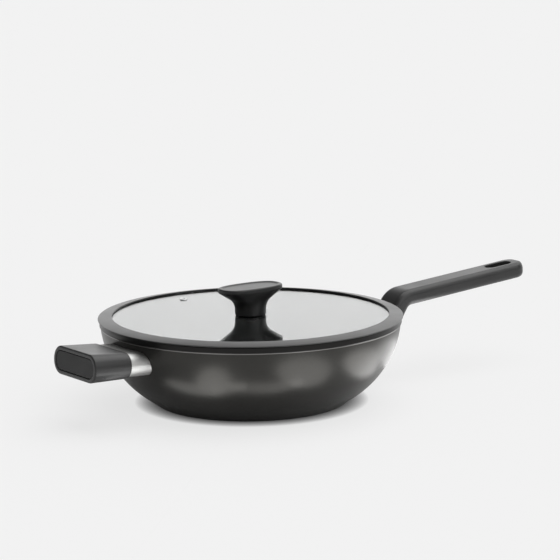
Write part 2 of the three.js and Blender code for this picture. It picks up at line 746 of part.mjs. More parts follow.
// The hanging slot goes through from top to bottom, and its inner end is a ramp from the top.
function hangingSlot() {
  const end = -SLOT_END_WALL;
  const start = end - SLOT_LENGTH;
  const reach = HANDLE_THICKNESS;
  const slope = SLOT_RAMP / HANDLE_THICKNESS;
  const plan = rounded([
    [start, -SLOT_WIDTH / 2, SLOT_WIDTH / 2],
    [end, -SLOT_WIDTH / 2, SLOT_WIDTH / 2],
    [end, SLOT_WIDTH / 2, SLOT_WIDTH / 2],
    [start, SLOT_WIDTH / 2, SLOT_WIDTH / 2],
  ]);
  const rings = [-reach, reach].map((height) => {
    const shift = slope * (HANDLE_THICKNESS / 2 - height);
    const middle = (start + end) / 2;
    return plan.map((point) => {
      const share = point.x < middle ? 1 : 0;
      return new THREE.Vector3(point.x + share * shift, point.y, height);
    });
  });
  const slot = loft(rings);
  slot.rotateY(-handleEnd.slope);
  return slot.translate(handleEnd.place.x, 0, handleEnd.place.y);
}

const handleFerruleWidth = BOSS_WIDTH - 2 * HANDLE_INSET;
const handleFerruleThickness = BOSS_THICKNESS - 2 * HANDLE_INSET;

function makeHandle() {
  const gap = 2 * SEAT_GAP;
  const width = handleFerruleWidth + gap;
  const thickness = handleFerruleThickness + gap;
  const socket = bar(roundedRectangle(width, thickness, thickness / 2), 0, handleSocket);
  const shankBore = rod(screwBore, 0, handleScrewSeat);
  const headBore = rod(screwHeadBore, handleScrewSeat - SEAT_GAP, handleScrewSeat + 2 * BOSS_THICKNESS);
  const geometry = cut(loft(handleRings()), socket, shankBore, headBore, hangingSlot());
  return piece("long_handle", geometry, 0x3b3b3b, 0.6, 0);
}

sideHandle.add(
  ferrule("side_ferrule", sideFerruleWidth, sideFerruleThickness, SIDE_FERRULE_LENGTH, sideHandle),
  stud("side_stud_left", SIDE_FERRULE_LENGTH, -SIDE_STUD_SPACING / 2, sideHandle),
  stud("side_stud_right", SIDE_FERRULE_LENGTH, SIDE_STUD_SPACING / 2, sideHandle),
  makeGrip(),
  handleScrew("side_screw_left", sideScrewSeat, sideSocket, -SIDE_STUD_SPACING / 2),
  handleScrew("side_screw_right", sideScrewSeat, sideSocket, SIDE_STUD_SPACING / 2),
  makeCap(),
);

longHandle.add(
  ferrule("handle_ferrule", handleFerruleWidth, handleFerruleThickness, HANDLE_FERRULE_LENGTH, longHandle),
  stud("handle_stud", HANDLE_FERRULE_LENGTH, 0, longHandle),
  makeHandle(),
  handleScrew("handle_screw", handleScrewSeat, handleSocket, 0),
);

const lid = new THREE.Group();
lid.add(
  makeGlass(),
  makeSeal(),
  makeEyelet(),
  makeKnob(),
  makeGasket(),
  makeInsert(),
  makeBush(),
  makeWasher(),
  makeKnobScrew(),
);

const wok = new THREE.Group();
wok.add(makeBowl(), makeDisc(), sideHandle, longHandle, lid);

export default wok;
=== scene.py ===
import math

import bmesh
import bpy
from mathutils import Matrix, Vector


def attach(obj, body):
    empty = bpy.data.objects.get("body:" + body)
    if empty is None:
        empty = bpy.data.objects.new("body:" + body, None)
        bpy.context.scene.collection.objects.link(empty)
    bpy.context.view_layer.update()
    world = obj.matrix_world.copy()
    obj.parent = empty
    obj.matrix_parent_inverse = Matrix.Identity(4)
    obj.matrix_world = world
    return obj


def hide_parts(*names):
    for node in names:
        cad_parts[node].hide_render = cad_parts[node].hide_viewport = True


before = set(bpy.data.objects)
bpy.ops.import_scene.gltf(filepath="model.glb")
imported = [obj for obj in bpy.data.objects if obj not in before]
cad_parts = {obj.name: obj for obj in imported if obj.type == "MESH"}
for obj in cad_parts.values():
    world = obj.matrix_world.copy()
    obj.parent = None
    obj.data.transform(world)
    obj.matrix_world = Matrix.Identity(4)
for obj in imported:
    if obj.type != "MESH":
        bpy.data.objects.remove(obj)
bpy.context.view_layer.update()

# One millimetre, in the scene's metres
MM = 0.001

# Sizes of the wok, in millimetres, with angles in radians
SEAT_GAP = 0.25
MERGE_DISTANCE = 0.002

BASE_RADIUS = 95.2
FOOT_HEIGHT = 10
FOOT_SLOPE = math.radians(34.8)
RIM_RADIUS = 150.5
BOWL_HEIGHT = 85
WALL = 3.2
FLOOR = 5
FLOOR_FILLET = 30
RIM_BAND_HEIGHT = 6.3
RIM_BAND_PROUD = 0.5
RIM_ROUND = 1.1
BASE_EDGE_ROUND = 1.5
# Painted highlight line under the rim band: its drop below the band, then the half widths of its
# full core and of its fading edge
PAINTED_HIGHLIGHT_DROP = 0.3
PAINTED_HIGHLIGHT_CORE = 0.2
PAINTED_HIGHLIGHT_EDGE = 0.5

DISC_RADIUS = 78
DISC_THICKNESS = 1.4
DISC_GROOVES = 3
DISC_GROOVE_WIDTH = 3
DISC_GROOVE_DEPTH = 0.5

GLASS_TOP = 86.64
GLASS_BOTTOM = 82.64
GLASS_RADIUS = 143.35
GLASS_HOLE = 4.2
GLASS_EDGE_ROUND = 1.2
SEAL_INNER = 138.35
SEAL_GROOVE = 143.6
SEAL_SKIRT = 146.4
SEAL_SKIRT_BOTTOM = 80.19
SEAL_OUTER = 152.5
SEAL_LIP = 1.9
SEAL_EDGE = 0.9
SEAL_SKIRT_ROUND = 1.1

VENT_DISTANCE = 109.5
VENT_ANGLE = math.radians(94)
VENT_BORE = 1.8
EYELET_WALL = 0.9
EYELET_FLANGE_RADIUS = 4.6
EYELET_FLANGE = 0.5
EYELET_MOUTH_ROUND = 0.5

KNOB_BOTTOM = 87.94
KNOB_TOP = 116.14
KNOB_LENGTH = 70.5
KNOB_WIDTH = 36.6
KNOB_TIP_EDGE = 4.4
KNOB_TIP_ROUND = 1.5
KNOB_DISH = 0.9
KNOB_DISH_MARGIN = 2.6
KNOB_DISH_EDGE_ROUND = 1
KNOB_DISH_FLOOR_ROUND = 1.5
KNOB_SQUARENESS = 2.6
ELLIPSE = 2
STEM_LENGTH = 32.4
STEM_WIDTH = 29
STEM_HEIGHT = 11.9
STEM_FILLET = 13
STEM_FOOT_ROUND = 0.5
INSERT_RADIUS = 5
INSERT_LENGTH = 12
GASKET_BOTTOM = 86.89
GASKET_THICKNESS = 0.8
GASKET_INSET = 0.6
GASKET_EDGE_ROUND = 0.2
BUSH_BOTTOM = 81.19
BUSH_FLANGE = 1.2
BUSH_FLANGE_RADIUS = 9
BUSH_COLLAR = 3.95
WASHER_BOTTOM = 79.94
WASHER_THICKNESS = 1
WASHER_RADIUS = 8
KNOB_SCREW_SEAT = 79.69
KNOB_SCREW_TOP = 96.94

SCREW_RADIUS = 2.5
SCREW_HEAD_RADIUS = 4.5
SCREW_HEAD_HEIGHT = 2.6
SCREW_HEAD_ROUND = 1.1
SCREW_SLOT_WIDTH = 1.1
SCREW_SLOT_DEPTH = 1.2
SCREW_BITE = 12
SCREW_SEAT = 6.25

HANDLE_LEVEL = 61
FERRULE_WALL = 1
SOCKET_DEPTH = 4

SIDE_TILT = math.radians(3)
SIDE_FERRULE_LENGTH = 18
SIDE_FERRULE_WIDTH = 71
SIDE_FERRULE_THICKNESS = 23.5
SIDE_STUD_SPACING = 40
GRIP_LENGTH = 42
GRIP_WIDTH = 77
GRIP_THICKNESS = 28
GRIP_INNER_WIDTH = 75.5
GRIP_INNER_THICKNESS = 25.6
GRIP_CORNER = 12.4
GRIP_EDGE_ROUND = 1.6
END_LIP = 4.2
END_RECESS = 1.4
CAP_THICKNESS = 2
CAP_CROWN = 0.9
CAP_EDGE_ROUND = 0.7

HANDLE_FERRULE_LENGTH = 16
HANDLE_FERRULE_WIDTH = 28
HANDLE_FERRULE_THICKNESS = 18
BOSS_LENGTH = 3.3
BOSS_WIDTH = 32
BOSS_THICKNESS = 22
BOSS_BEND_INSIDE = 1.5
NECK_ANGLE = math.radians(55)
NECK_LENGTH = 10.85
NECK_THICKNESS = 18.5
CRANK_BEND_INSIDE = 9
HANDLE_TILT = math.radians(4.5)
HANDLE_LENGTH = 158.35
HANDLE_WIDTH = 32
HANDLE_THICKNESS = 16.6
HANDLE_CORNER = 6.5
HANDLE_CORNER_SHARE = 0.45
HANDLE_END_PLAN_ROUND = 14.5
HANDLE_END_EDGE_ROUND = 5.5
HANDLE_EDGE_ROUND = 1.2
SLOT_LENGTH = 33
SLOT_WIDTH = 14
SLOT_END_WALL = 13
SLOT_RAMP = 13
SLOT_EDGE_ROUND = 1
SLOT_EDGE_STEPS = 5
SLOT_EDGE_SWEEP = math.radians(75)
SLOT_OVERCUT = 2

# Corner of an end that is all but a half circle: share of its half width, or of its width
NEARLY_ROUND = 0.999
NEARLY_HALF = 0.499

# Rounds of small edges, from the finest up
FINE_ROUND = 0.15
SLIGHT_ROUND = 0.2
EASED_ROUND = 0.3
SOFT_ROUND = 0.4

# Steps round large turned pieces, round small ones and round ovals
LARGE_ROUND = 192
SMALL_ROUND = 48
OVAL_STEPS = 96

# Steps along the wall, along a bend and along rounded corners and edges
WALL_STEPS = 28
BEND_STEPS = 16
CORNER_STEPS = 8
SLOT_PLAN_STEPS = 12
SEAL_CORNER_STEPS = 6
SMALL_CORNER_STEPS = 5
HIDDEN_CORNER_STEPS = 3
EDGE_STEPS = 3

# Edges of moulded pieces that are sharper than this angle get rounded
SHARP_EDGE = math.radians(60)
# A face is an end or a floor when its normal leans that way by more than this
END_FACE = 0.999
FLOOR_FACE = 0.5


# Drawing and shaping

def deselect_all():
    if bpy.context.mode != "OBJECT":
        bpy.ops.object.mode_set(mode="OBJECT")
    bpy.ops.object.select_all(action="DESELECT")


def pick(piece):
    """Makes the piece the only one selected, and the active one."""
    deselect_all()
    piece.select_set(True)
    bpy.context.view_layer.objects.active = piece


def open_points():
    """Opens the active piece for editing, with all its points selected."""
    bpy.ops.object.mode_set(mode="EDIT")
    bpy.ops.mesh.select_mode(type="VERT")
    bpy.ops.mesh.select_all(action="SELECT")


def rounded(corners, steps=CORNER_STEPS):
    """Points of a closed outline whose corners (x, z, radius) are rounded by arcs."""
    points = []
    for i, (x, z, *radius) in enumerate(corners):
        corner = Vector((x, z))
        if not radius:
            points.append(corner)
            continue
        before = Vector(corners[i - 1][:2])
        after = Vector(corners[(i + 1) % len(corners)][:2])
        back = (before - corner).normalized()
        ahead = (after - corner).normalized()
        half = back.angle(ahead) / 2
        centre = corner + (back + ahead).normalized() * radius[0] / math.sin(half)
        start = corner + back * radius[0] / math.tan(half) - centre
        cross = back.x * ahead.y - back.y * ahead.x
        turn = math.copysign(math.pi - 2 * half, -cross)
        for step in range(steps + 1):
            angle = turn * step / steps
            across = start.x * math.cos(angle) - start.y * math.sin(angle)
            up = start.x * math.sin(angle) + start.y * math.cos(angle)
            points.append(centre + Vector((across, up)))
    return [(point.x, point.y) for point in points]


def drawn_line(name, points):
    """A line of edges in the XZ plane, drawn point by point from one vertex."""
    deselect_all()
    bpy.ops.mesh.primitive_plane_add(size=MM)
    line = bpy.context.object
    line.name = name
    open_points()
    bpy.ops.mesh.merge(type="CENTER")
    bpy.ops.transform.translate(value=(points[0][0] * MM, 0, points[0][1] * MM))
    for (x, z), (next_x, next_z) in zip(points, points[1:]):
        step = ((next_x - x) * MM, 0, (next_z - z) * MM)
        bpy.ops.mesh.extrude_region_move(TRANSFORM_OT_translate={"value": step})
    return line


def close_mesh():
    """Merges what lies together, turns all faces outwards and leaves edit mode."""
    bpy.ops.mesh.select_all(action="SELECT")
    bpy.ops.mesh.remove_doubles(threshold=MERGE_DISTANCE * MM)
    bpy.ops.mesh.normals_make_consistent(inside=False)
    bpy.ops.object.mode_set(mode="OBJECT")


def turned(name, section, steps=LARGE_ROUND):
    """A section drawn beside the Z axis and spun round it."""
    piece = drawn_line(name, section)
    bpy.ops.mesh.select_all(action="SELECT")
    bpy.ops.mesh.spin(steps=steps, angle=2 * math.pi, center=(0, 0, 0), axis=(0, 0, 1))
    close_mesh()
    return piece


def turned_ring(name, section, steps=LARGE_ROUND):
    return turned(name, [*section, section[0]], steps)


def set_ring(piece, ring):
    """Puts the selected ring of vertices at these points."""
    mesh = bmesh.from_edit_mesh(piece.data)
    order = mesh.verts.layers.int["order"]
    for vertex in mesh.verts:
        if vertex.select:
            vertex.co = Vector(ring[vertex[order]]) * MM
    bmesh.update_edit_mesh(piece.data)


def lofted(name, rings):
    """A ring extruded from place to place, with both ends filled."""
    deselect_all()
    bpy.ops.mesh.primitive_circle_add(vertices=len(rings[0]), radius=MM)
    piece = bpy.context.object
    piece.name = name
    open_points()
    mesh = bmesh.from_edit_mesh(piece.data)
    order = mesh.verts.layers.int.new("order")
    for i, vertex in enumerate(mesh.verts):
        vertex[order] = i
    set_ring(piece, rings[0])
    for ring in rings[1:]:
        bpy.ops.mesh.extrude_region_move()
        set_ring(piece, ring)
    bpy.ops.mesh.select_all(action="SELECT")
    bpy.ops.mesh.fill_holes(sides=0)
    close_mesh()
    piece.data.attributes.remove(piece.data.attributes["order"])
    return piece


def rounded_bar(name, width, thickness, corner, start, end):
    """A bar along X: a flat end with rounded corners, pulled out to its length."""
    deselect_all()
    bpy.ops.mesh.primitive_plane_add(
        size=1,
        rotation=(0, math.pi / 2, 0),
        location=(start * MM, 0, 0),
    )
    piece = bpy.context.object
    piece.name = name
    open_points()
    bpy.ops.transform.resize(value=(1, width * MM, thickness * MM))
    bpy.ops.mesh.bevel(offset=corner * MM, segments=2 * CORNER_STEPS, affect="VERTICES")
    length = ((end - start) * MM, 0, 0)
    bpy.ops.mesh.extrude_region_move(TRANSFORM_OT_translate={"value": length})
    close_mesh()
    bpy.ops.object.transform_apply()
    return piece


def rod(name, radius, start, end, across=0):
    """A round bar along X, to drill with."""
    deselect_all()
    middle = (start + end) / 2 * MM
    bpy.ops.mesh.primitive_cylinder_add(
        vertices=SMALL_ROUND,
        radius=radius * MM,
        depth=(end - start) * MM,
        rotation=(0, math.pi / 2, 0),
        location=(middle, across * MM, 0),
    )
    bpy.context.object.name = name
    bpy.ops.object.transform_apply()
    return bpy.context.object


def cut(piece, cutter):
    """Takes the cutter's shape out of the piece and throws the cutter away."""
    pick(piece)
    modifier = piece.modifiers.new("cut", "BOOLEAN")
    modifier.object = cutter
    modifier.operation = "DIFFERENCE"
    modifier.solver = "EXACT"
    bpy.ops.object.modifier_apply(modifier=modifier.name)
    bpy.data.objects.remove(cutter)


def place(piece, location=(0, 0, 0), rotation=(0, 0, 0)):
    """Sets a piece down and applies its place, so that its object stays at the origin."""
    pick(piece)
    piece.location = Vector(location) * MM
    piece.rotation_euler = rotation
    bpy.ops.object.transform_apply()


def drill_upright(piece, radius, reach, location):
    """Drills the piece along Z, by the reach above and below the location."""
    drill = rod("drill", radius, -reach, reach)
    place(drill, location, (0, math.pi / 2, 0))
    cut(piece, drill)


def cut_socket(piece, width, thickness, depth):
    """Cuts the socket in which the end of a steel sleeve seats."""
    wide = width + 2 * SEAT_GAP
    tall = thickness + 2 * SEAT_GAP
    cut(piece, rounded_bar("socket", wide, tall, NEARLY_HALF * tall, 0, depth))


def edit(piece):
    """Opens the piece for editing, with none of its faces selected."""
    pick(piece)
    bpy.ops.object.mode_set(mode="EDIT")
    bpy.ops.mesh.select_mode(type="FACE")
    bpy.ops.mesh.select_all(action="DESELECT")
    return bmesh.from_edit_mesh(piece.data)


def select_faces(piece, wanted):
    """Opens the piece for editing with the faces selected that the test picks."""
    mesh = edit(piece)
    for face in mesh.faces:
        face.select = wanted(face)
    mesh.select_flush_mode()
    bmesh.update_edit_mesh(piece.data)


def round_sharp_edges(piece, width):
    """Rounds each sharp edge of the piece."""
    edit(piece)
    bpy.ops.mesh.select_mode(type="EDGE")
    bpy.ops.mesh.edges_select_sharp(sharpness=SHARP_EDGE)
    bpy.ops.mesh.bevel(
        offset=width * MM,
        segments=EDGE_STEPS,
        affect="EDGES",
        clamp_overlap=True,
    )
    close_mesh()


def finished(piece, body, node, slot, *materials, angle=40, flats=True):
    """Smooths the piece up to an angle in degrees, and gives it its materials.

    The piece then takes the place of its plain solid and moves with its body.
    """
    pick(piece)
    bpy.ops.object.shade_smooth_by_angle(angle=math.radians(angle))
    if flats:
        modifier = piece.modifiers.new("flats", "WEIGHTED_NORMAL")
        modifier.mode = "FACE_AREA"
        modifier.weight = 100
        modifier.keep_sharp = True
        bpy.ops.object.modifier_apply(modifier=modifier.name)
    piece.data.materials.clear()
    for material in materials:
        piece.data.materials.append(material)
    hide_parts(node)
    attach(piece, body)


# Finishes

def grey(tone):
    return (tone, tone, tone)


def finish(name):
    """A new material, with its shader and the object's own coordinates."""
    material = bpy.data.materials.new(name)
    material.use_nodes = True
    tree = material.node_tree
    coordinates = tree.nodes.new("ShaderNodeTexCoord").outputs["Object"]
    return material, tree, tree.nodes["Principled BSDF"], coordinates


def stretched(tree, coordinates, scale):
    mapping = tree.nodes.new("ShaderNodeMapping")
    mapping.inputs["Scale"].default_value = scale
    tree.links.new(coordinates, mapping.inputs["Vector"])
    return mapping.outputs["Vector"]


def grain(tree, coordinates, scale, detail=3, roughness=0.5):
    noise = tree.nodes.new("ShaderNodeTexNoise")
    noise.inputs["Scale"].default_value = scale
    noise.inputs["Detail"].default_value = detail
    noise.inputs["Roughness"].default_value = roughness
    tree.links.new(coordinates, noise.inputs["Vector"])
    return noise.outputs["Fac"]


def spread(tree, factor, low, high, start=0.3, end=0.7):
    """The factor mapped from start..end to low..high."""
    node = tree.nodes.new("ShaderNodeMapRange")
    node.inputs["From Min"].default_value = start
    node.inputs["From Max"].default_value = end
    node.inputs["To Min"].default_value = low
    node.inputs["To Max"].default_value = high
    tree.links.new(factor, node.inputs["Value"])
    return node.outputs["Result"]


def mixed(tree, factor, first, second):
    """One colour blended into another by the factor.

    A colour is three numbers or a node's output.
    """
    node = tree.nodes.new("ShaderNodeMix")
    node.data_type = "RGBA"
    tree.links.new(factor, node.inputs["Factor"])
    for socket, colour in ((node.inputs[6], first), (node.inputs[7], second)):
        if isinstance(colour, tuple):
            socket.default_value = (*colour, 1)
        else:
            tree.links.new(colour, socket)
    return node.outputs[2]


def maths(tree, operation, first, second):
    node = tree.nodes.new("ShaderNodeMath")
    node.operation = operation
    for socket, value in zip(node.inputs, (first, second)):
        if isinstance(value, (int, float)):
            socket.default_value = value
        else:
            tree.links.new(value, socket)
    return node.outputs["Value"]


def bumped(tree, shader, height, strength, distance):
    node = tree.nodes.new("ShaderNodeBump")
    node.inputs["Strength"].default_value = strength
    node.inputs["Distance"].default_value = distance * MM
    tree.links.new(height, node.inputs["Height"])
    tree.links.new(node.outputs["Normal"], shader.inputs["Normal"])


def axis_height(tree, coordinates):
    """The height of each point, in metres."""
    parts = tree.nodes.new("ShaderNodeSeparateXYZ")
    tree.links.new(coordinates, parts.inputs["Vector"])
    return parts.outputs["Z"]


def outer_coating():
    """Dark satin metallic lacquer, with a painted highlight line just under the rim band and
    painted shade on the rim band.
    """
    material, tree, shader, coordinates = finish("outer_coating")
    cloud = grain(tree, coordinates, scale=14, detail=2)
    fleck = grain(tree, coordinates, scale=2600, detail=2)
    height = axis_height(tree, coordinates)
    # Painted highlight: the mask of a thin pale line of colour just under the rim band
    off_line = maths(tree, "SUBTRACT", height, painted_highlight_height * MM)
    off_line = maths(tree, "ABSOLUTE", off_line, 0)
    line = spread(tree, off_line, 1, 0, PAINTED_HIGHLIGHT_CORE * MM, PAINTED_HIGHLIGHT_EDGE * MM)
    # Painted shade: the colour darkens from the highlight line up to the bottom of the rim band
    # and stays dark over the band
    band = spread(tree, height, 0, 1, painted_highlight_height * MM, band_bottom * MM)
    coat = mixed(tree, spread(tree, fleck, 0, 1), (0.034, 0.033, 0.031), (0.052, 0.051, 0.048))
    coat = mixed(tree, spread(tree, cloud, 0, 0.35), coat, (0.040, 0.039, 0.036))
    # Painted shade laid over the rim band
    coat = mixed(tree, band, coat, (0.020, 0.0195, 0.019))
    coat = mixed(tree, line, coat, (0.20, 0.196, 0.19))
    tree.links.new(coat, shader.inputs["Base Color"])
    shader.inputs["Metallic"].default_value = 0.9
    rough = spread(tree, cloud, 0.31, 0.35)
    rough = maths(tree, "ADD", rough, spread(tree, fleck, -0.02, 0.02))
    tree.links.new(rough, shader.inputs["Roughness"])
    bumped(tree, shader, fleck, strength=0.1, distance=0.02)
    return material


def inner_coating():
    """Non-stick lining: near black with fine pale specks."""
    material, tree, shader, coordinates = finish("inner_coating")
    speck = tree.nodes.new("ShaderNodeTexVoronoi")
    speck.inputs["Scale"].default_value = 420
    tree.links.new(coordinates, speck.inputs["Vector"])
    spot = spread(tree, speck.outputs["Distance"], 1, 0, start=0.12, end=0.2)
    patch = grain(tree, coordinates, scale=300, detail=1)
    spot = maths(tree, "MULTIPLY", spot, spread(tree, patch, 0, 1, start=0.55, end=0.6))
    cloud = grain(tree, coordinates, scale=30)
    lining = mixed(tree, spread(tree, cloud, 0, 1), grey(0.012), (0.020, 0.020, 0.019))
    lining = mixed(tree, spot, lining, (0.16, 0.16, 0.155))
    tree.links.new(lining, shader.inputs["Base Color"])
    tree.links.new(spread(tree, cloud, 0.38, 0.48), shader.inputs["Roughness"])
    pores = grain(tree, coordinates, scale=900, detail=2)
    bumped(tree, shader, pores, strength=0.15, distance=0.05)
    return material


def spun_steel():
    """Steel with fine turning rings about the middle of the base."""
    material, tree, shader, coordinates = finish("spun_steel")
    ring = tree.nodes.new("ShaderNodeTexWave")
    ring.wave_type = "RINGS"
    ring.rings_direction = "Z"
    ring.inputs["Scale"].default_value = 380
    ring.inputs["Distortion"].default_value = 1.5
    ring.inputs["Detail"].default_value = 3
    ring.inputs["Detail Scale"].default_value = 2
    tree.links.new(coordinates, ring.inputs["Vector"])
    groove = ring.outputs["Fac"]
    cloud = grain(tree, coordinates, scale=40)
    tone = mixed(tree, groove, grey(0.50), grey(0.66))
    tone = mixed(tree, spread(tree, cloud, 0, 0.4), tone, grey(0.46))
    tree.links.new(tone, shader.inputs["Base Color"])
    shader.inputs["Metallic"].default_value = 1
    rough = spread(tree, groove, 0.24, 0.38, start=0, end=1)
    tree.links.new(rough, shader.inputs["Roughness"])
    bumped(tree, shader, groove, strength=0.15, distance=0.02)
    return material


def brushed_steel():
    """Stainless steel brushed round the sleeves of the handles."""
    material, tree, shader, coordinates = finish("brushed_steel")
    along = stretched(tree, coordinates, (3200, 90, 90))
    lines = grain(tree, along, scale=1, detail=4, roughness=0.6)
    cloud = grain(tree, coordinates, scale=60, detail=2)
    tone = mixed(tree, spread(tree, lines, 0, 1), (0.50, 0.50, 0.49), (0.58, 0.58, 0.57))
    tone = mixed(tree, spread(tree, cloud, 0, 0.2), tone, (0.52, 0.52, 0.51))
    tree.links.new(tone, shader.inputs["Base Color"])
    shader.inputs["Metallic"].default_value = 1
    tree.links.new(spread(tree, lines, 0.36, 0.42), shader.inputs["Roughness"])
    bumped(tree, shader, lines, strength=0.05, distance=0.02)
    return material


def plain_metal(name, dark, light, least_rough, most_rough):
    """Turned metal with faint tool marks."""
    material, tree, shader, coordinates = finish(name)
    marks = grain(tree, coordinates, scale=700)
    tone = mixed(tree, spread(tree, marks, 0, 1), dark, light)
    tree.links.new(tone, shader.inputs["Base Color"])
    shader.inputs["Metallic"].default_value = 1
    rough = spread(tree, marks, least_rough, most_rough)
    tree.links.new(rough, shader.inputs["Roughness"])
    bumped(tree, shader, marks, strength=0.08, distance=0.02)
    return material


def moulded_plastic(name, dark, light, least_rough, most_rough, gloss=0.5):
    """Matte moulded plastic with a fine spark-eroded grain."""
    material, tree, shader, coordinates = finish(name)
    pores = grain(tree, coordinates, scale=2400, detail=2)
    cloud = grain(tree, coordinates, scale=35)
    tone = mixed(tree, spread(tree, cloud, 0, 1), dark, light)
    tone = mixed(tree, spread(tree, pores, 0, 0.5), tone, dark)
    tree.links.new(tone, shader.inputs["Base Color"])
    rough = spread(tree, cloud, least_rough, most_rough)
    rough = maths(tree, "ADD", rough, spread(tree, pores, -0.03, 0.03))
    tree.links.new(rough, shader.inputs["Roughness"])
    shader.inputs["Specular IOR Level"].default_value = gloss
    bumped(tree, shader, pores, strength=0.25, distance=0.03)
    return material


def soft_rubber(name, dark, light, least_rough, most_rough, gloss=0.5, sheen=0.1):
    """Silicone or rubber, with a faint bloom."""
    material, tree, shader, coordinates = finish(name)
    bloom = grain(tree, coordinates, scale=50, detail=4)
    pores = grain(tree, coordinates, scale=1500, detail=2)
    tone = mixed(tree, spread(tree, bloom, 0, 1), dark, light)
    tree.links.new(tone, shader.inputs["Base Color"])
    rough = spread(tree, bloom, least_rough, most_rough)
    tree.links.new(rough, shader.inputs["Roughness"])
    shader.inputs["Specular IOR Level"].default_value = gloss
    shader.inputs["Sheen Weight"].default_value = sheen
    shader.inputs["Sheen Roughness"].default_value = 0.4
    bumped(tree, shader, pores, strength=0.12, distance=0.02)
    return material


def clear_glass():
    """Toughened glass with a trace of green and the faintest uneven polish."""
    material, tree, shader, coordinates = finish("clear_glass")
    cloud = grain(tree, coordinates, scale=9, detail=2)
    tint = mixed(tree, spread(tree, cloud, 0, 1), (0.90, 0.93, 0.92), (0.93, 0.95, 0.945))
    tree.links.new(tint, shader.inputs["Base Color"])
    tree.links.new(spread(tree, cloud, 0.004, 0.012), shader.inputs["Roughness"])
    shader.inputs["IOR"].default_value = 1.55
    shader.inputs["Transmission Weight"].default_value = 1
    return material


# Bowl: a short cone and then one arc, tangent to the cone, up to the rim

foot_out = Vector((math.sin(FOOT_SLOPE), -math.cos(FOOT_SLOPE)))
foot_top = Vector((BASE_RADIUS + FOOT_HEIGHT / math.tan(FOOT_SLOPE), FOOT_HEIGHT))
foot_to_rim = Vector((RIM_RADIUS, BOWL_HEIGHT)) - foot_top
arc_radius = foot_to_rim.length_squared / (-2 * foot_to_rim.dot(foot_out))
arc_centre = foot_top - foot_out * arc_radius
band_bottom = BOWL_HEIGHT - RIM_BAND_HEIGHT
band_radius = RIM_RADIUS + RIM_BAND_PROUD
# Height of the painted highlight line, just under the rim band
painted_highlight_height = band_bottom - PAINTED_HIGHLIGHT_DROP


def wall_at(height, offset=0):
    """How far from the axis the wall is at a height, or a surface offset from it."""
    reach = arc_radius + offset
    return arc_centre.x + math.sqrt(reach ** 2 - (height - arc_centre.y) ** 2)


def wall_arc(offset, top):
    """Points along the wall, or along a surface offset from it, up to the top."""
    reach = arc_radius + offset
    first = FOOT_SLOPE - math.pi / 2
    last = math.asin((top - arc_centre.y) / reach)
    points = []
    for step in range(WALL_STEPS + 1):
        angle = first + (last - first) * step / WALL_STEPS
        across = arc_centre.x + reach * math.cos(angle)
        up = arc_centre.y + reach * math.sin(angle)
        points.append((across, up))
    return points


def make_bowl():
    floor_edge = BASE_RADIUS + FLOOR / math.tan(FOOT_SLOPE) - WALL / math.sin(FOOT_SLOPE)
    disc_room = DISC_THICKNESS + SEAT_GAP
    step = band_radius - wall_at(band_bottom)
    section = rounded([
        (0, disc_room),
        (DISC_RADIUS + SEAT_GAP, disc_room),
        (DISC_RADIUS + SEAT_GAP, 0, EASED_ROUND),
        (BASE_RADIUS, 0, BASE_EDGE_ROUND),
        *wall_arc(0, band_bottom),
        (band_radius, band_bottom + step, SLIGHT_ROUND),
        (band_radius, BOWL_HEIGHT, RIM_ROUND),
        (wall_at(BOWL_HEIGHT, -WALL), BOWL_HEIGHT, RIM_ROUND),
        *reversed(wall_arc(-WALL, BOWL_HEIGHT - RIM_BAND_HEIGHT / 2)),
        (floor_edge, FLOOR, FLOOR_FILLET),
        (0, FLOOR),
    ])
    bowl = turned("bowl", section)
    coats = (outer_coating(), inner_coating())
    finished(bowl, "wok", "wok_body", "coated_aluminium", *coats, angle=30)
    lining = arc_radius - WALL / 2
    for face in bowl.data.polygons:
        radius = math.hypot(face.center.x, face.center.y) / MM
        height = face.center.z / MM
        within_wall = math.hypot(radius - arc_centre.x, height - arc_centre.y) < lining
        on_floor = radius < foot_top.x and face.normal.z > FLOOR_FACE
        face.material_index = int(on_floor or within_wall and height > FLOOR)


def bowl_room():
    """All that the bowl takes up, with room to seat: cuts what stands against the wall."""
    top = BOWL_HEIGHT + SEAT_GAP
    section = [
        (0, FOOT_HEIGHT),
        *wall_arc(SEAT_GAP, band_bottom - SEAT_GAP),
        (band_radius + SEAT_GAP, band_bottom - SEAT_GAP),
        (band_radius + SEAT_GAP, top),
        (0, top),
    ]
    return turned("bowl_room", section)


def make_base_disc():
    pitch = DISC_RADIUS / (DISC_GROOVES + 1)
    underside = [(0, 0)]
    for groove in range(1, DISC_GROOVES + 1):
        inner = groove * pitch - DISC_GROOVE_WIDTH / 2
        outer = groove * pitch + DISC_GROOVE_WIDTH / 2
        underside += [
            (inner, 0, SLIGHT_ROUND),
            (inner + DISC_GROOVE_DEPTH, DISC_GROOVE_DEPTH, SLIGHT_ROUND),
            (outer - DISC_GROOVE_DEPTH, DISC_GROOVE_DEPTH, SLIGHT_ROUND),
            (outer, 0, SLIGHT_ROUND),
        ]
    section = rounded([
        *underside,
        (DISC_RADIUS, 0, SOFT_ROUND),
        (DISC_RADIUS, DISC_THICKNESS),
        (0, DISC_THICKNESS),
    ], HIDDEN_CORNER_STEPS)
    disc = turned("base_disc", section)
    finished(disc, "wok", "induction_disc", "disc_steel", spun_steel())


# Lid

vent_x = VENT_DISTANCE * math.cos(VENT_ANGLE)
vent_y = VENT_DISTANCE * math.sin(VENT_ANGLE)


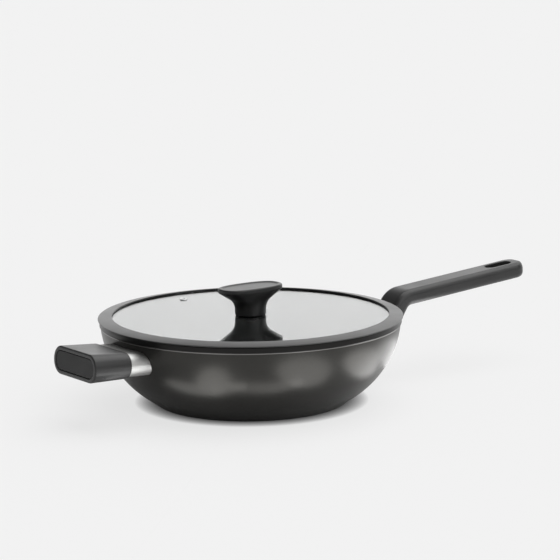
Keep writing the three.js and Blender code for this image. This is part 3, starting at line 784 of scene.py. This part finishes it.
def make_glass():
    section = rounded([
        (GLASS_HOLE, GLASS_BOTTOM),
        (GLASS_RADIUS, GLASS_BOTTOM, GLASS_EDGE_ROUND),
        (GLASS_RADIUS, GLASS_TOP, GLASS_EDGE_ROUND),
        (GLASS_HOLE, GLASS_TOP),
    ])
    glass = turned_ring("glass_disc", section)
    hole = VENT_BORE + EYELET_WALL + SEAT_GAP
    drill_upright(glass, hole, GLASS_TOP, (vent_x, vent_y, GLASS_TOP))
    finished(glass, "lid", "lid_glass", "clear_glass", clear_glass(), angle=30)


def make_seal():
    flange = BOWL_HEIGHT + SEAT_GAP
    lower_inner = SEAL_INNER + SEAL_LIP / 2
    section = rounded([
        (lower_inner, SEAL_SKIRT_BOTTOM, SOFT_ROUND),
        (SEAL_SKIRT, SEAL_SKIRT_BOTTOM, SEAL_SKIRT_ROUND),
        (SEAL_SKIRT, flange, EASED_ROUND),
        (SEAL_OUTER, flange, SEAL_EDGE / 3),
        (SEAL_OUTER, flange + SEAL_EDGE, SEAL_EDGE / 3),
        (SEAL_INNER, GLASS_TOP + SEAL_LIP, SEAL_LIP / 4),
        (SEAL_INNER, GLASS_TOP + SEAT_GAP, SLIGHT_ROUND),
        (SEAL_GROOVE, GLASS_TOP + SEAT_GAP),
        (SEAL_GROOVE, GLASS_BOTTOM - SEAT_GAP),
        (lower_inner, GLASS_BOTTOM - SEAT_GAP, SLIGHT_ROUND),
    ], SEAL_CORNER_STEPS)
    seal = turned_ring("silicone_ring", section)
    silicone = soft_rubber(
        "grey_silicone",
        dark=grey(0.022),
        light=(0.030, 0.030, 0.029),
        least_rough=0.30,
        most_rough=0.37,
    )
    finished(seal, "lid", "lid_seal", "grey_silicone", silicone, flats=False)


def make_eyelet():
    top = GLASS_TOP + SEAT_GAP
    bottom = GLASS_BOTTOM - SEAT_GAP
    tube = VENT_BORE + EYELET_WALL
    section = rounded([
        (VENT_BORE, bottom - EYELET_FLANGE, SOFT_ROUND),
        (EYELET_FLANGE_RADIUS, bottom - EYELET_FLANGE, EASED_ROUND),
        (EYELET_FLANGE_RADIUS, bottom, FINE_ROUND),
        (tube, bottom),
        (tube, top),
        (EYELET_FLANGE_RADIUS, top, FINE_ROUND),
        (EYELET_FLANGE_RADIUS - EYELET_FLANGE, top + EYELET_FLANGE, SOFT_ROUND),
        (VENT_BORE, top + EYELET_FLANGE, EYELET_MOUTH_ROUND),
    ], SMALL_CORNER_STEPS)
    eyelet = turned_ring("vent_ring", section, SMALL_ROUND)
    place(eyelet, (vent_x, vent_y, 0))
    polished = plain_metal("polished_steel", grey(0.52), grey(0.62), 0.16, 0.24)
    finished(eyelet, "lid", "vent_eyelet", "eyelet_steel", polished)


def oval(half_length, half_width, squareness, height):
    """A ring at a height: an ellipse at the squareness ELLIPSE, and squarer above it."""
    ring = []
    for step in range(OVAL_STEPS):
        angle = 2 * math.pi * step / OVAL_STEPS
        across = math.cos(angle)
        along = math.sin(angle)
        x = half_length * math.copysign(abs(across) ** (2 / squareness), across)
        y = half_width * math.copysign(abs(along) ** (2 / squareness), along)
        ring.append((x, y, height))
    return ring


def held(share):
    return min(max(share, 0), 1)


def between(start, end, share):
    return start + (end - start) * held(share)


def make_knob():
    stem = STEM_LENGTH / 2
    tip = KNOB_LENGTH / 2
    dish = tip - KNOB_DISH_MARGIN
    outline = rounded([
        (0, KNOB_BOTTOM),
        (stem, KNOB_BOTTOM, STEM_FOOT_ROUND),
        (stem, KNOB_BOTTOM + STEM_HEIGHT, STEM_FILLET),
        (tip, KNOB_TOP - KNOB_TIP_EDGE, KNOB_TIP_ROUND),
        (tip, KNOB_TOP, KNOB_TIP_ROUND),
        (dish, KNOB_TOP, KNOB_DISH_EDGE_ROUND),
        (dish - KNOB_DISH_MARGIN, KNOB_TOP - KNOB_DISH, KNOB_DISH_FLOOR_ROUND),
        (0, KNOB_TOP - KNOB_DISH),
    ])
    rings = []
    for x, height in outline[1:-1]:
        on_top = height > KNOB_TOP - KNOB_TIP_EDGE / 2
        flare = 1 if on_top else held((x - stem) / (tip - stem))
        width = between(STEM_WIDTH, KNOB_WIDTH, flare)
        length = between(STEM_LENGTH, KNOB_LENGTH, flare)
        margin = length / 2 - x
        squareness = between(ELLIPSE, KNOB_SQUARENESS, flare)
        rings.append(oval(x, width / 2 - margin, squareness, height))
    knob = lofted("knob_body", rings)
    reach = INSERT_LENGTH + SEAT_GAP
    drill_upright(knob, INSERT_RADIUS + SEAT_GAP, reach, (0, 0, KNOB_BOTTOM))
    plastic = moulded_plastic("knob_plastic", grey(0.007), grey(0.011), 0.30, 0.36)
    finished(knob, "lid", "knob", "knob_plastic", plastic, angle=50)


def make_washer(material):
    inner = SCREW_RADIUS + SEAT_GAP
    top = WASHER_BOTTOM + WASHER_THICKNESS
    section = rounded([
        (inner, WASHER_BOTTOM, FINE_ROUND),
        (WASHER_RADIUS, WASHER_BOTTOM, SLIGHT_ROUND),
        (WASHER_RADIUS, top, SLIGHT_ROUND),
        (inner, top, FINE_ROUND),
    ], HIDDEN_CORNER_STEPS)
    washer = turned_ring("washer_ring", section, SMALL_ROUND)
    finished(washer, "lid", "knob_washer", "screw_steel", material)


def make_gasket(material):
    """A thin rubber ring that follows the oval foot of the stem."""
    half_length = STEM_LENGTH / 2 - GASKET_INSET
    half_width = STEM_WIDTH / 2 - GASKET_INSET
    rings = []
    for margin, height in (
        (GASKET_EDGE_ROUND, 0),
        (0, GASKET_EDGE_ROUND),
        (0, GASKET_THICKNESS - GASKET_EDGE_ROUND),
        (GASKET_EDGE_ROUND, GASKET_THICKNESS),
    ):
        level = GASKET_BOTTOM + height
        rings.append(oval(half_length - margin, half_width - margin, ELLIPSE, level))
    gasket = lofted("knob_ring", rings)
    drill_upright(gasket, SCREW_RADIUS + SEAT_GAP, KNOB_BOTTOM, (0, 0, KNOB_BOTTOM))
    finished(gasket, "lid", "knob_gasket", "black_rubber", material)


def make_bush(material):
    inner = SCREW_RADIUS + SEAT_GAP
    shelf = BUSH_BOTTOM + BUSH_FLANGE
    section = rounded([
        (inner, BUSH_BOTTOM, SLIGHT_ROUND),
        (BUSH_FLANGE_RADIUS, BUSH_BOTTOM, EASED_ROUND),
        (BUSH_FLANGE_RADIUS, shelf, EASED_ROUND),
        (BUSH_COLLAR, shelf),
        (BUSH_COLLAR, GLASS_TOP, SLIGHT_ROUND),
        (inner, GLASS_TOP, SLIGHT_ROUND),
    ], HIDDEN_CORNER_STEPS)
    bush = turned_ring("bush_ring", section, SMALL_ROUND)
    finished(bush, "lid", "glass_bush", "black_rubber", material)


def make_screw(name, body, node, material, shank, location, rotation):
    """A slotted pan-head screw: its head is below the seat and its shank above it."""
    section = rounded([
        (0, -SCREW_HEAD_HEIGHT),
        (SCREW_HEAD_RADIUS, -SCREW_HEAD_HEIGHT, SCREW_HEAD_ROUND),
        (SCREW_HEAD_RADIUS, 0, FINE_ROUND),
        (SCREW_RADIUS, 0),
        (SCREW_RADIUS, shank, SOFT_ROUND),
        (0, shank),
    ], SMALL_CORNER_STEPS)
    screw = turned(name, section, SMALL_ROUND)
    deselect_all()
    bpy.ops.mesh.primitive_cube_add(size=1, location=(0, 0, -SCREW_HEAD_HEIGHT * MM))
    slot = bpy.context.object
    across_head = 3 * SCREW_HEAD_RADIUS
    slot.scale = Vector((across_head, SCREW_SLOT_WIDTH, 2 * SCREW_SLOT_DEPTH)) * MM
    bpy.ops.object.transform_apply()
    cut(screw, slot)
    place(screw, location, rotation)
    finished(screw, body, node, "screw_steel", material)


# Side handle, made along X from the wall and then turned to the other side

side_place = (-wall_at(HANDLE_LEVEL), 0, HANDLE_LEVEL)
side_turn = (0, -SIDE_TILT, math.pi)
grip_start = SIDE_FERRULE_LENGTH
grip_end = grip_start + GRIP_LENGTH
side_socket = grip_start + SOCKET_DEPTH + SEAT_GAP
side_screw_seat = side_socket + SCREW_SEAT


def make_sleeve(name, node, material, width, thickness, length, location, rotation):
    """A steel sleeve from the wall into its handle, cut to the curve of the bowl."""
    end = length + SOCKET_DEPTH
    sleeve = rounded_bar(name, width, thickness, NEARLY_HALF * thickness, -width, end)
    wide = width - 2 * FERRULE_WALL
    tall = thickness - 2 * FERRULE_WALL
    cut(sleeve, rounded_bar("hollow", wide, tall, NEARLY_HALF * tall, -2 * width, 2 * end))
    place(sleeve, location, rotation)
    cut(sleeve, bowl_room())
    finished(sleeve, "wok", node, "ferrule_steel", material)


def make_grip(material):
    grip = rounded_bar(
        "side_handle_grip",
        GRIP_INNER_WIDTH,
        GRIP_INNER_THICKNESS,
        GRIP_CORNER,
        grip_start,
        grip_end,
    )
    select_faces(grip, lambda face: face.normal.x > END_FACE)
    wider = GRIP_WIDTH / GRIP_INNER_WIDTH
    thicker = GRIP_THICKNESS / GRIP_INNER_THICKNESS
    bpy.ops.transform.resize(value=(1, wider, thicker))
    close_mesh()
    round_sharp_edges(grip, GRIP_EDGE_ROUND)
    select_faces(grip, lambda face: face.normal.x > END_FACE)
    bpy.ops.mesh.inset(thickness=(END_LIP - GRIP_EDGE_ROUND) * MM)
    depth = END_RECESS + CAP_THICKNESS + SEAT_GAP
    inwards = (-depth * MM, 0, 0)
    bpy.ops.mesh.extrude_region_move(TRANSFORM_OT_translate={"value": inwards})
    close_mesh()
    round_sharp_edges(grip, CAP_EDGE_ROUND)
    cut_socket(grip, SIDE_FERRULE_WIDTH, SIDE_FERRULE_THICKNESS, side_socket)
    head_seat = side_screw_seat - SEAT_GAP
    for across in (-SIDE_STUD_SPACING / 2, SIDE_STUD_SPACING / 2):
        cut(grip, rod("drill", SCREW_RADIUS + SEAT_GAP, 0, grip_end - CAP_THICKNESS, across))
        cut(grip, rod("drill", SCREW_HEAD_RADIUS + SEAT_GAP, head_seat, grip_end, across))
    place(grip, side_place, side_turn)
    finished(grip, "wok", "side_grip", "handle_plastic", material)


def make_cap():
    margin = 2 * (END_LIP + SEAT_GAP)
    recess = grip_end - END_RECESS
    cap = rounded_bar(
        "side_handle_cap",
        GRIP_WIDTH - margin,
        GRIP_THICKNESS - margin,
        GRIP_CORNER - END_LIP,
        recess - CAP_THICKNESS,
        recess + CAP_CROWN,
    )
    round_sharp_edges(cap, CAP_EDGE_ROUND)
    place(cap, side_place, side_turn)
    plastic = moulded_plastic("cap_plastic", grey(0.008), grey(0.012), 0.42, 0.5, gloss=0.32)
    finished(cap, "wok", "side_end_cap", "cap_plastic", plastic)


# Long handle: a bar bent twice from the wall outwards

handle_place = (wall_at(HANDLE_LEVEL), 0, HANDLE_LEVEL)
boss_start = HANDLE_FERRULE_LENGTH
handle_socket = boss_start + SOCKET_DEPTH + SEAT_GAP
handle_screw_seat = handle_socket + SCREW_SEAT


def handle_spine():
    """Stops along the handle: (place, slope, distance along it)."""
    stops = []
    here = Vector((boss_start, 0))
    slope = 0
    along = 0

    def forward(length, direction):
        nonlocal along
        here.x += length * math.cos(direction)
        here.y += length * math.sin(direction)
        along += length

    def straight(length):
        forward(length, slope)
        stops.append((here.copy(), slope, along))

    def bend(radius, to_slope):
        nonlocal slope
        step = (to_slope - slope) / BEND_STEPS
        for _ in range(BEND_STEPS):
            forward(2 * radius * math.sin(abs(step) / 2), slope + step / 2)
            slope += step
            stops.append((here.copy(), slope, along))

    straight(0)
    straight(BOSS_LENGTH)
    bend(BOSS_BEND_INSIDE + BOSS_THICKNESS / 2, NECK_ANGLE)
    boss_end = along
    straight(NECK_LENGTH)
    bend(CRANK_BEND_INSIDE + HANDLE_THICKNESS / 2, HANDLE_TILT)
    crank_end = along
    straight(HANDLE_LENGTH)
    return stops, boss_end, crank_end


def rounded_rectangle(width, height, corner):
    corners = [
        (-width / 2, -height / 2, corner),
        (width / 2, -height / 2, corner),
        (width / 2, height / 2, corner),
        (-width / 2, height / 2, corner),
    ]
    return rounded(corners)


def handle_ring(here, slope, width, thickness):
    corner = min(HANDLE_CORNER, HANDLE_CORNER_SHARE * min(thickness, width))
    ring = []
    for across, up in rounded_rectangle(width, thickness, corner):
        ring.append((here.x - up * math.sin(slope), across, here.y + up * math.cos(slope)))
    return ring


def smooth(share):
    """The share eased in and out, for a change of section without a kink."""
    even = held(share)
    return even * even * (3 - 2 * even)


def drawn_in(distance, radius):
    """How far a side is drawn in at a distance from a rounded end."""
    inside = max(radius - distance, 0)
    return radius - math.sqrt(radius ** 2 - inside ** 2)


def make_handle(material):
    stops, boss_end, crank_end = handle_spine()
    end, tilt, _ = stops[-1]
    direction = Vector((math.cos(tilt), math.sin(tilt)))
    rings = []
    for step in range(CORNER_STEPS + 1):
        angle = math.pi / 2 * step / CORNER_STEPS
        inset = HANDLE_EDGE_ROUND * (1 - math.cos(angle))
        margin = 2 * HANDLE_EDGE_ROUND * (1 - math.sin(angle))
        here = Vector((boss_start + inset, 0))
        rings.append(handle_ring(here, 0, BOSS_WIDTH - margin, BOSS_THICKNESS - margin))
    for here, slope, along in stops[1:-1]:
        to_grip = smooth((along - boss_end) / (crank_end - boss_end))
        neck = between(BOSS_THICKNESS, NECK_THICKNESS, smooth(along / boss_end))
        width = between(BOSS_WIDTH, HANDLE_WIDTH, to_grip)
        rings.append(handle_ring(here, slope, width, between(neck, HANDLE_THICKNESS, to_grip)))
    round_steps = 2 * BEND_STEPS
    for step in range(round_steps + 1):
        angle = math.pi / 2 * step / round_steps
        distance = HANDLE_END_PLAN_ROUND * (1 - math.sin(angle))
        width = HANDLE_WIDTH - 2 * drawn_in(distance, HANDLE_END_PLAN_ROUND)
        thickness = HANDLE_THICKNESS - 2 * drawn_in(distance, HANDLE_END_EDGE_ROUND)
        rings.append(handle_ring(end - direction * distance, tilt, width, thickness))
    handle = lofted("handle_bar", rings)
    cut(handle, hanging_slot(end, tilt))
    cut_socket(handle, HANDLE_FERRULE_WIDTH, HANDLE_FERRULE_THICKNESS, handle_socket)
    cut(handle, rod("drill", SCREW_RADIUS + SEAT_GAP, 0, handle_screw_seat))
    head_seat = handle_screw_seat - SEAT_GAP
    head_way = handle_screw_seat + 2 * BOSS_THICKNESS
    cut(handle, rod("drill", SCREW_HEAD_RADIUS + SEAT_GAP, head_seat, head_way))
    place(handle, handle_place)
    finished(handle, "wok", "long_handle", "handle_plastic", material)


def hanging_slot(end, tilt):
    """Cutter for the slot: right through, with a ramp at its inner end and rounded edges."""
    far = -SLOT_END_WALL
    near = far - SLOT_LENGTH
    middle = (near + far) / 2
    top = HANDLE_THICKNESS / 2

    def ring(height, flare):
        half = SLOT_WIDTH / 2 + flare
        corner = NEARLY_ROUND * half
        plan = rounded([
            (near - flare, -half, corner),
            (far + flare, -half, corner),
            (far + flare, half, corner),
            (near - flare, half, corner),
        ], SLOT_PLAN_STEPS)
        ramp = SLOT_RAMP / HANDLE_THICKNESS * (top - height)
        return [(x + ramp if x < middle else x, y, height) for x, y in plan]

    edge = []
    for step in range(SLOT_EDGE_STEPS + 1):
        angle = SLOT_EDGE_SWEEP * step / SLOT_EDGE_STEPS
        height = top - SLOT_EDGE_ROUND * (1 - math.sin(angle))
        edge.append((height, SLOT_EDGE_ROUND * (1 - math.cos(angle))))
    height, flare = edge[-1]
    rise = 2 * (top - height)
    flare += rise * math.tan(SLOT_EDGE_SWEEP)
    edge += [(height + rise, flare), (top + SLOT_OVERCUT, flare)]
    rings = [ring(-height, flare) for height, flare in reversed(edge)]
    rings += [ring(height, flare) for height, flare in edge]
    slot = lofted("slot", rings)
    place(slot, (end.x, 0, end.y), (0, -tilt, 0))
    return slot


# Finishes that several pieces share, and then the pieces

handle_plastic = moulded_plastic("handle_plastic", grey(0.014), grey(0.020), 0.31, 0.38)
sleeve_steel = brushed_steel()
screw_steel = plain_metal("screw_steel", grey(0.48), grey(0.60), 0.26, 0.4)
# Black rubber for the gasket and the bush, darker than rubber's own tone as painted shade: it
# stands in for the shadow in the recess under the knob's stem
black_rubber = soft_rubber(
    "black_rubber",
    dark=grey(0.003),
    light=grey(0.006),
    least_rough=0.6,
    most_rough=0.7,
    gloss=0.1,
    sheen=0,
)

make_bowl()
make_base_disc()
make_sleeve(
    "side_sleeve",
    "side_ferrule",
    sleeve_steel,
    SIDE_FERRULE_WIDTH,
    SIDE_FERRULE_THICKNESS,
    SIDE_FERRULE_LENGTH,
    side_place,
    side_turn,
)
make_grip(handle_plastic)
make_cap()
make_sleeve(
    "handle_sleeve",
    "handle_ferrule",
    sleeve_steel,
    HANDLE_FERRULE_WIDTH,
    HANDLE_FERRULE_THICKNESS,
    HANDLE_FERRULE_LENGTH,
    handle_place,
    (0, 0, 0),
)
make_handle(handle_plastic)
make_screw(
    "handle_bolt",
    "wok",
    "handle_screw",
    screw_steel,
    handle_screw_seat - handle_socket + SCREW_BITE,
    (handle_place[0] + handle_screw_seat, 0, HANDLE_LEVEL),
    (0, -math.pi / 2, 0),
)
make_glass()
make_seal()
make_eyelet()
make_knob()
make_gasket(black_rubber)
make_bush(black_rubber)
make_washer(screw_steel)
make_screw(
    "knob_bolt",
    "lid",
    "knob_screw",
    screw_steel,
    KNOB_SCREW_TOP - KNOB_SCREW_SEAT,
    (0, 0, KNOB_SCREW_SEAT),
    (0, 0, 0),
)

# The hidden fastenings stay as they are, in their own metals
stud_metal = plain_metal("turned_aluminium", grey(0.52), grey(0.62), 0.3, 0.45)
insert_metal = plain_metal("turned_brass", (0.52, 0.37, 0.14), (0.64, 0.48, 0.22), 0.25, 0.4)
for node, metal in (
    ("side_stud_left", stud_metal),
    ("side_stud_right", stud_metal),
    ("handle_stud", stud_metal),
    ("side_screw_left", screw_steel),
    ("side_screw_right", screw_steel),
    ("knob_insert", insert_metal),
):
    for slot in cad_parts[node].material_slots:
        slot.material = metal


# Studio

# Camera and floor: places, reach and width in metres, turns in degrees
CAMERA_PLACE = (-1.4624, -2.0885, 0.5960)
CAMERA_TURN = (79.4577, 0.6426, -35.7897)
CAMERA_LENS = 167.2
CAMERA_SENSOR = 36
CAMERA_REACH = 200
FLOOR_WIDTH = 60
FLOOR_TONE = 0.885

# Share of the floor that shines by itself, to the camera and in mirrors and glass
FLOOR_GLOW = 0.82
FLOOR_GLOW_MIRRORED = 0.08

# Reach of the painted contact shade that darkens the floor's glow close to the base, and height
# of the strip lamps, in millimetres
PAINTED_SHADE_REACH = 13
STRIP_HEIGHT = 2

# Light all round, and that of the bright wall, which is turned to the right by degrees.
# The wall fades in over the first range of the cosine away from its middle, and fades out
# over the second range of the sine above the floor.
SKY_LEVEL = 0.26
SKY_BACK_GLOW = 1.04
SKY_BACK_TURN = 20
SKY_SIDE_FADE = (0.6, 0.85)
SKY_TOP_FADE = (0.55, 0.85)

# Name, degrees to the right of the camera, degrees above the floor, strength, softness
SOFTBOXES = (
    ("overhead_softbox", 120, 70, 1.7, 60),
    ("front_softbox", 50, 35, 0.9, 60),
)
# Name, centre, width, length, turn in degrees, power
STRIPS = (
    ("left_strip", (-148, -104), 86, 54, 36, 0.032),
    ("near_left_strip", (-130, -74), 24, 130, 30, 0.016),
    ("middle_strip", (-72, -138), 24, 120, 62, 0.013),
    ("right_strip", (-22, -214), 130, 116, 84, 0.084),
    ("far_right_strip", (128, -168), 120, 130, -52, 0.13),
    ("right_edge_strip", (228, -60), 130, 190, -15, 0.12),
)

# Level directions seen from above: from the wok to the camera, and to the camera's right
toward_camera = Vector(CAMERA_PLACE[:2]).normalized()
rightward = Vector((-toward_camera.y, toward_camera.x))


def make_floor():
    """A pale floor that keeps some of its tone in the shade, so that shadows stay soft, and
    whose glow carries painted contact shade close to the base.
    """
    deselect_all()
    bpy.ops.mesh.primitive_plane_add(size=FLOOR_WIDTH)
    floor = bpy.context.object
    floor.name = "floor"
    material, tree, shader, _ = finish("pale_floor")
    tone = (*grey(FLOOR_TONE), 1)
    shader.inputs["Base Color"].default_value = tone
    shader.inputs["Roughness"].default_value = 1
    shader.inputs["Specular IOR Level"].default_value = 0
    glow = tree.nodes.new("ShaderNodeEmission")
    # Painted contact shade: the glow's colour darkens where the wok stands close above the floor
    painted_contact_shade = tree.nodes.new("ShaderNodeAmbientOcclusion")
    painted_contact_shade.inputs["Color"].default_value = tone
    painted_contact_shade.inputs["Distance"].default_value = PAINTED_SHADE_REACH * MM
    tree.links.new(painted_contact_shade.outputs["Color"], glow.inputs["Color"])
    rays = tree.nodes.new("ShaderNodeLightPath").outputs
    seen = maths(tree, "MULTIPLY", rays["Is Camera Ray"], FLOOR_GLOW)
    mirrored = maths(tree, "MAXIMUM", rays["Is Glossy Ray"], rays["Is Transmission Ray"])
    mirrored = maths(tree, "MULTIPLY", mirrored, FLOOR_GLOW_MIRRORED)
    mix = tree.nodes.new("ShaderNodeMixShader")
    tree.links.new(maths(tree, "MAXIMUM", seen, mirrored), mix.inputs["Fac"])
    tree.links.new(shader.outputs["BSDF"], mix.inputs[1])
    tree.links.new(glow.outputs["Emission"], mix.inputs[2])
    tree.links.new(mix.outputs["Shader"], tree.nodes["Material Output"].inputs["Surface"])
    floor.data.materials.append(material)


def make_sky():
    """A dim studio with a bright wall low at the back, a little to the right."""
    world = bpy.context.scene.world or bpy.data.worlds.new("studio")
    bpy.context.scene.world = world
    world.use_nodes = True
    tree = world.node_tree
    background = tree.nodes["Background"]
    direction = tree.nodes.new("ShaderNodeTexCoord").outputs["Generated"]
    facing = tree.nodes.new("ShaderNodeVectorMath")
    facing.operation = "DOT_PRODUCT"
    turn = math.radians(SKY_BACK_TURN)
    back_wall = rightward * math.sin(turn) - toward_camera * math.cos(turn)
    facing.inputs[1].default_value = (*back_wall, 0)
    tree.links.new(direction, facing.inputs[0])
    behind = spread(tree, facing.outputs["Value"], 0, 1, *SKY_SIDE_FADE)
    height = axis_height(tree, direction)
    low = spread(tree, height, SKY_BACK_GLOW, 0, *SKY_TOP_FADE)
    glow = maths(tree, "MULTIPLY", behind, low)
    tree.links.new(maths(tree, "ADD", glow, SKY_LEVEL), background.inputs["Strength"])
    background.inputs["Color"].default_value = (1, 1, 1, 1)


def make_softbox(name, azimuth, elevation, strength, softness):
    """A broad soft lamp, far off in its direction."""
    deselect_all()
    bpy.ops.object.light_add(type="SUN")
    lamp = bpy.context.object
    lamp.name = name
    lamp.data.energy = strength
    lamp.data.angle = math.radians(softness)
    turn = math.radians(azimuth)
    rise = math.radians(elevation)
    level = toward_camera * math.cos(turn) + rightward * math.sin(turn)
    towards = Vector((*(level * math.cos(rise)), math.sin(rise)))
    lamp.rotation_euler = towards.to_track_quat("Z", "Y").to_euler()


def make_strip(name, centre, width, length, turn, power):
    """A flat soft lamp low beside the wok, facing up, with its place and size in millimetres."""
    deselect_all()
    bpy.ops.object.light_add(type="AREA")
    lamp = bpy.context.object
    lamp.name = name
    lamp.location = Vector((*centre, STRIP_HEIGHT)) * MM
    lamp.rotation_euler = (math.pi, 0, math.radians(turn))
    lamp.data.shape = "ELLIPSE"
    lamp.data.size = width * MM
    lamp.data.size_y = length * MM
    lamp.data.energy = power
    lamp.visible_camera = False


def make_camera():
    deselect_all()
    turn = [math.radians(angle) for angle in CAMERA_TURN]
    bpy.ops.object.camera_add(location=CAMERA_PLACE, rotation=turn)
    camera = bpy.context.object
    camera.data.lens = CAMERA_LENS
    camera.data.sensor_width = CAMERA_SENSOR
    camera.data.clip_end = CAMERA_REACH
    bpy.context.scene.camera = camera


make_floor()
make_sky()
for softbox in SOFTBOXES:
    make_softbox(*softbox)
for strip in STRIPS:
    make_strip(*strip)
make_camera()
bpy.context.scene.view_settings.view_transform = "Standard"
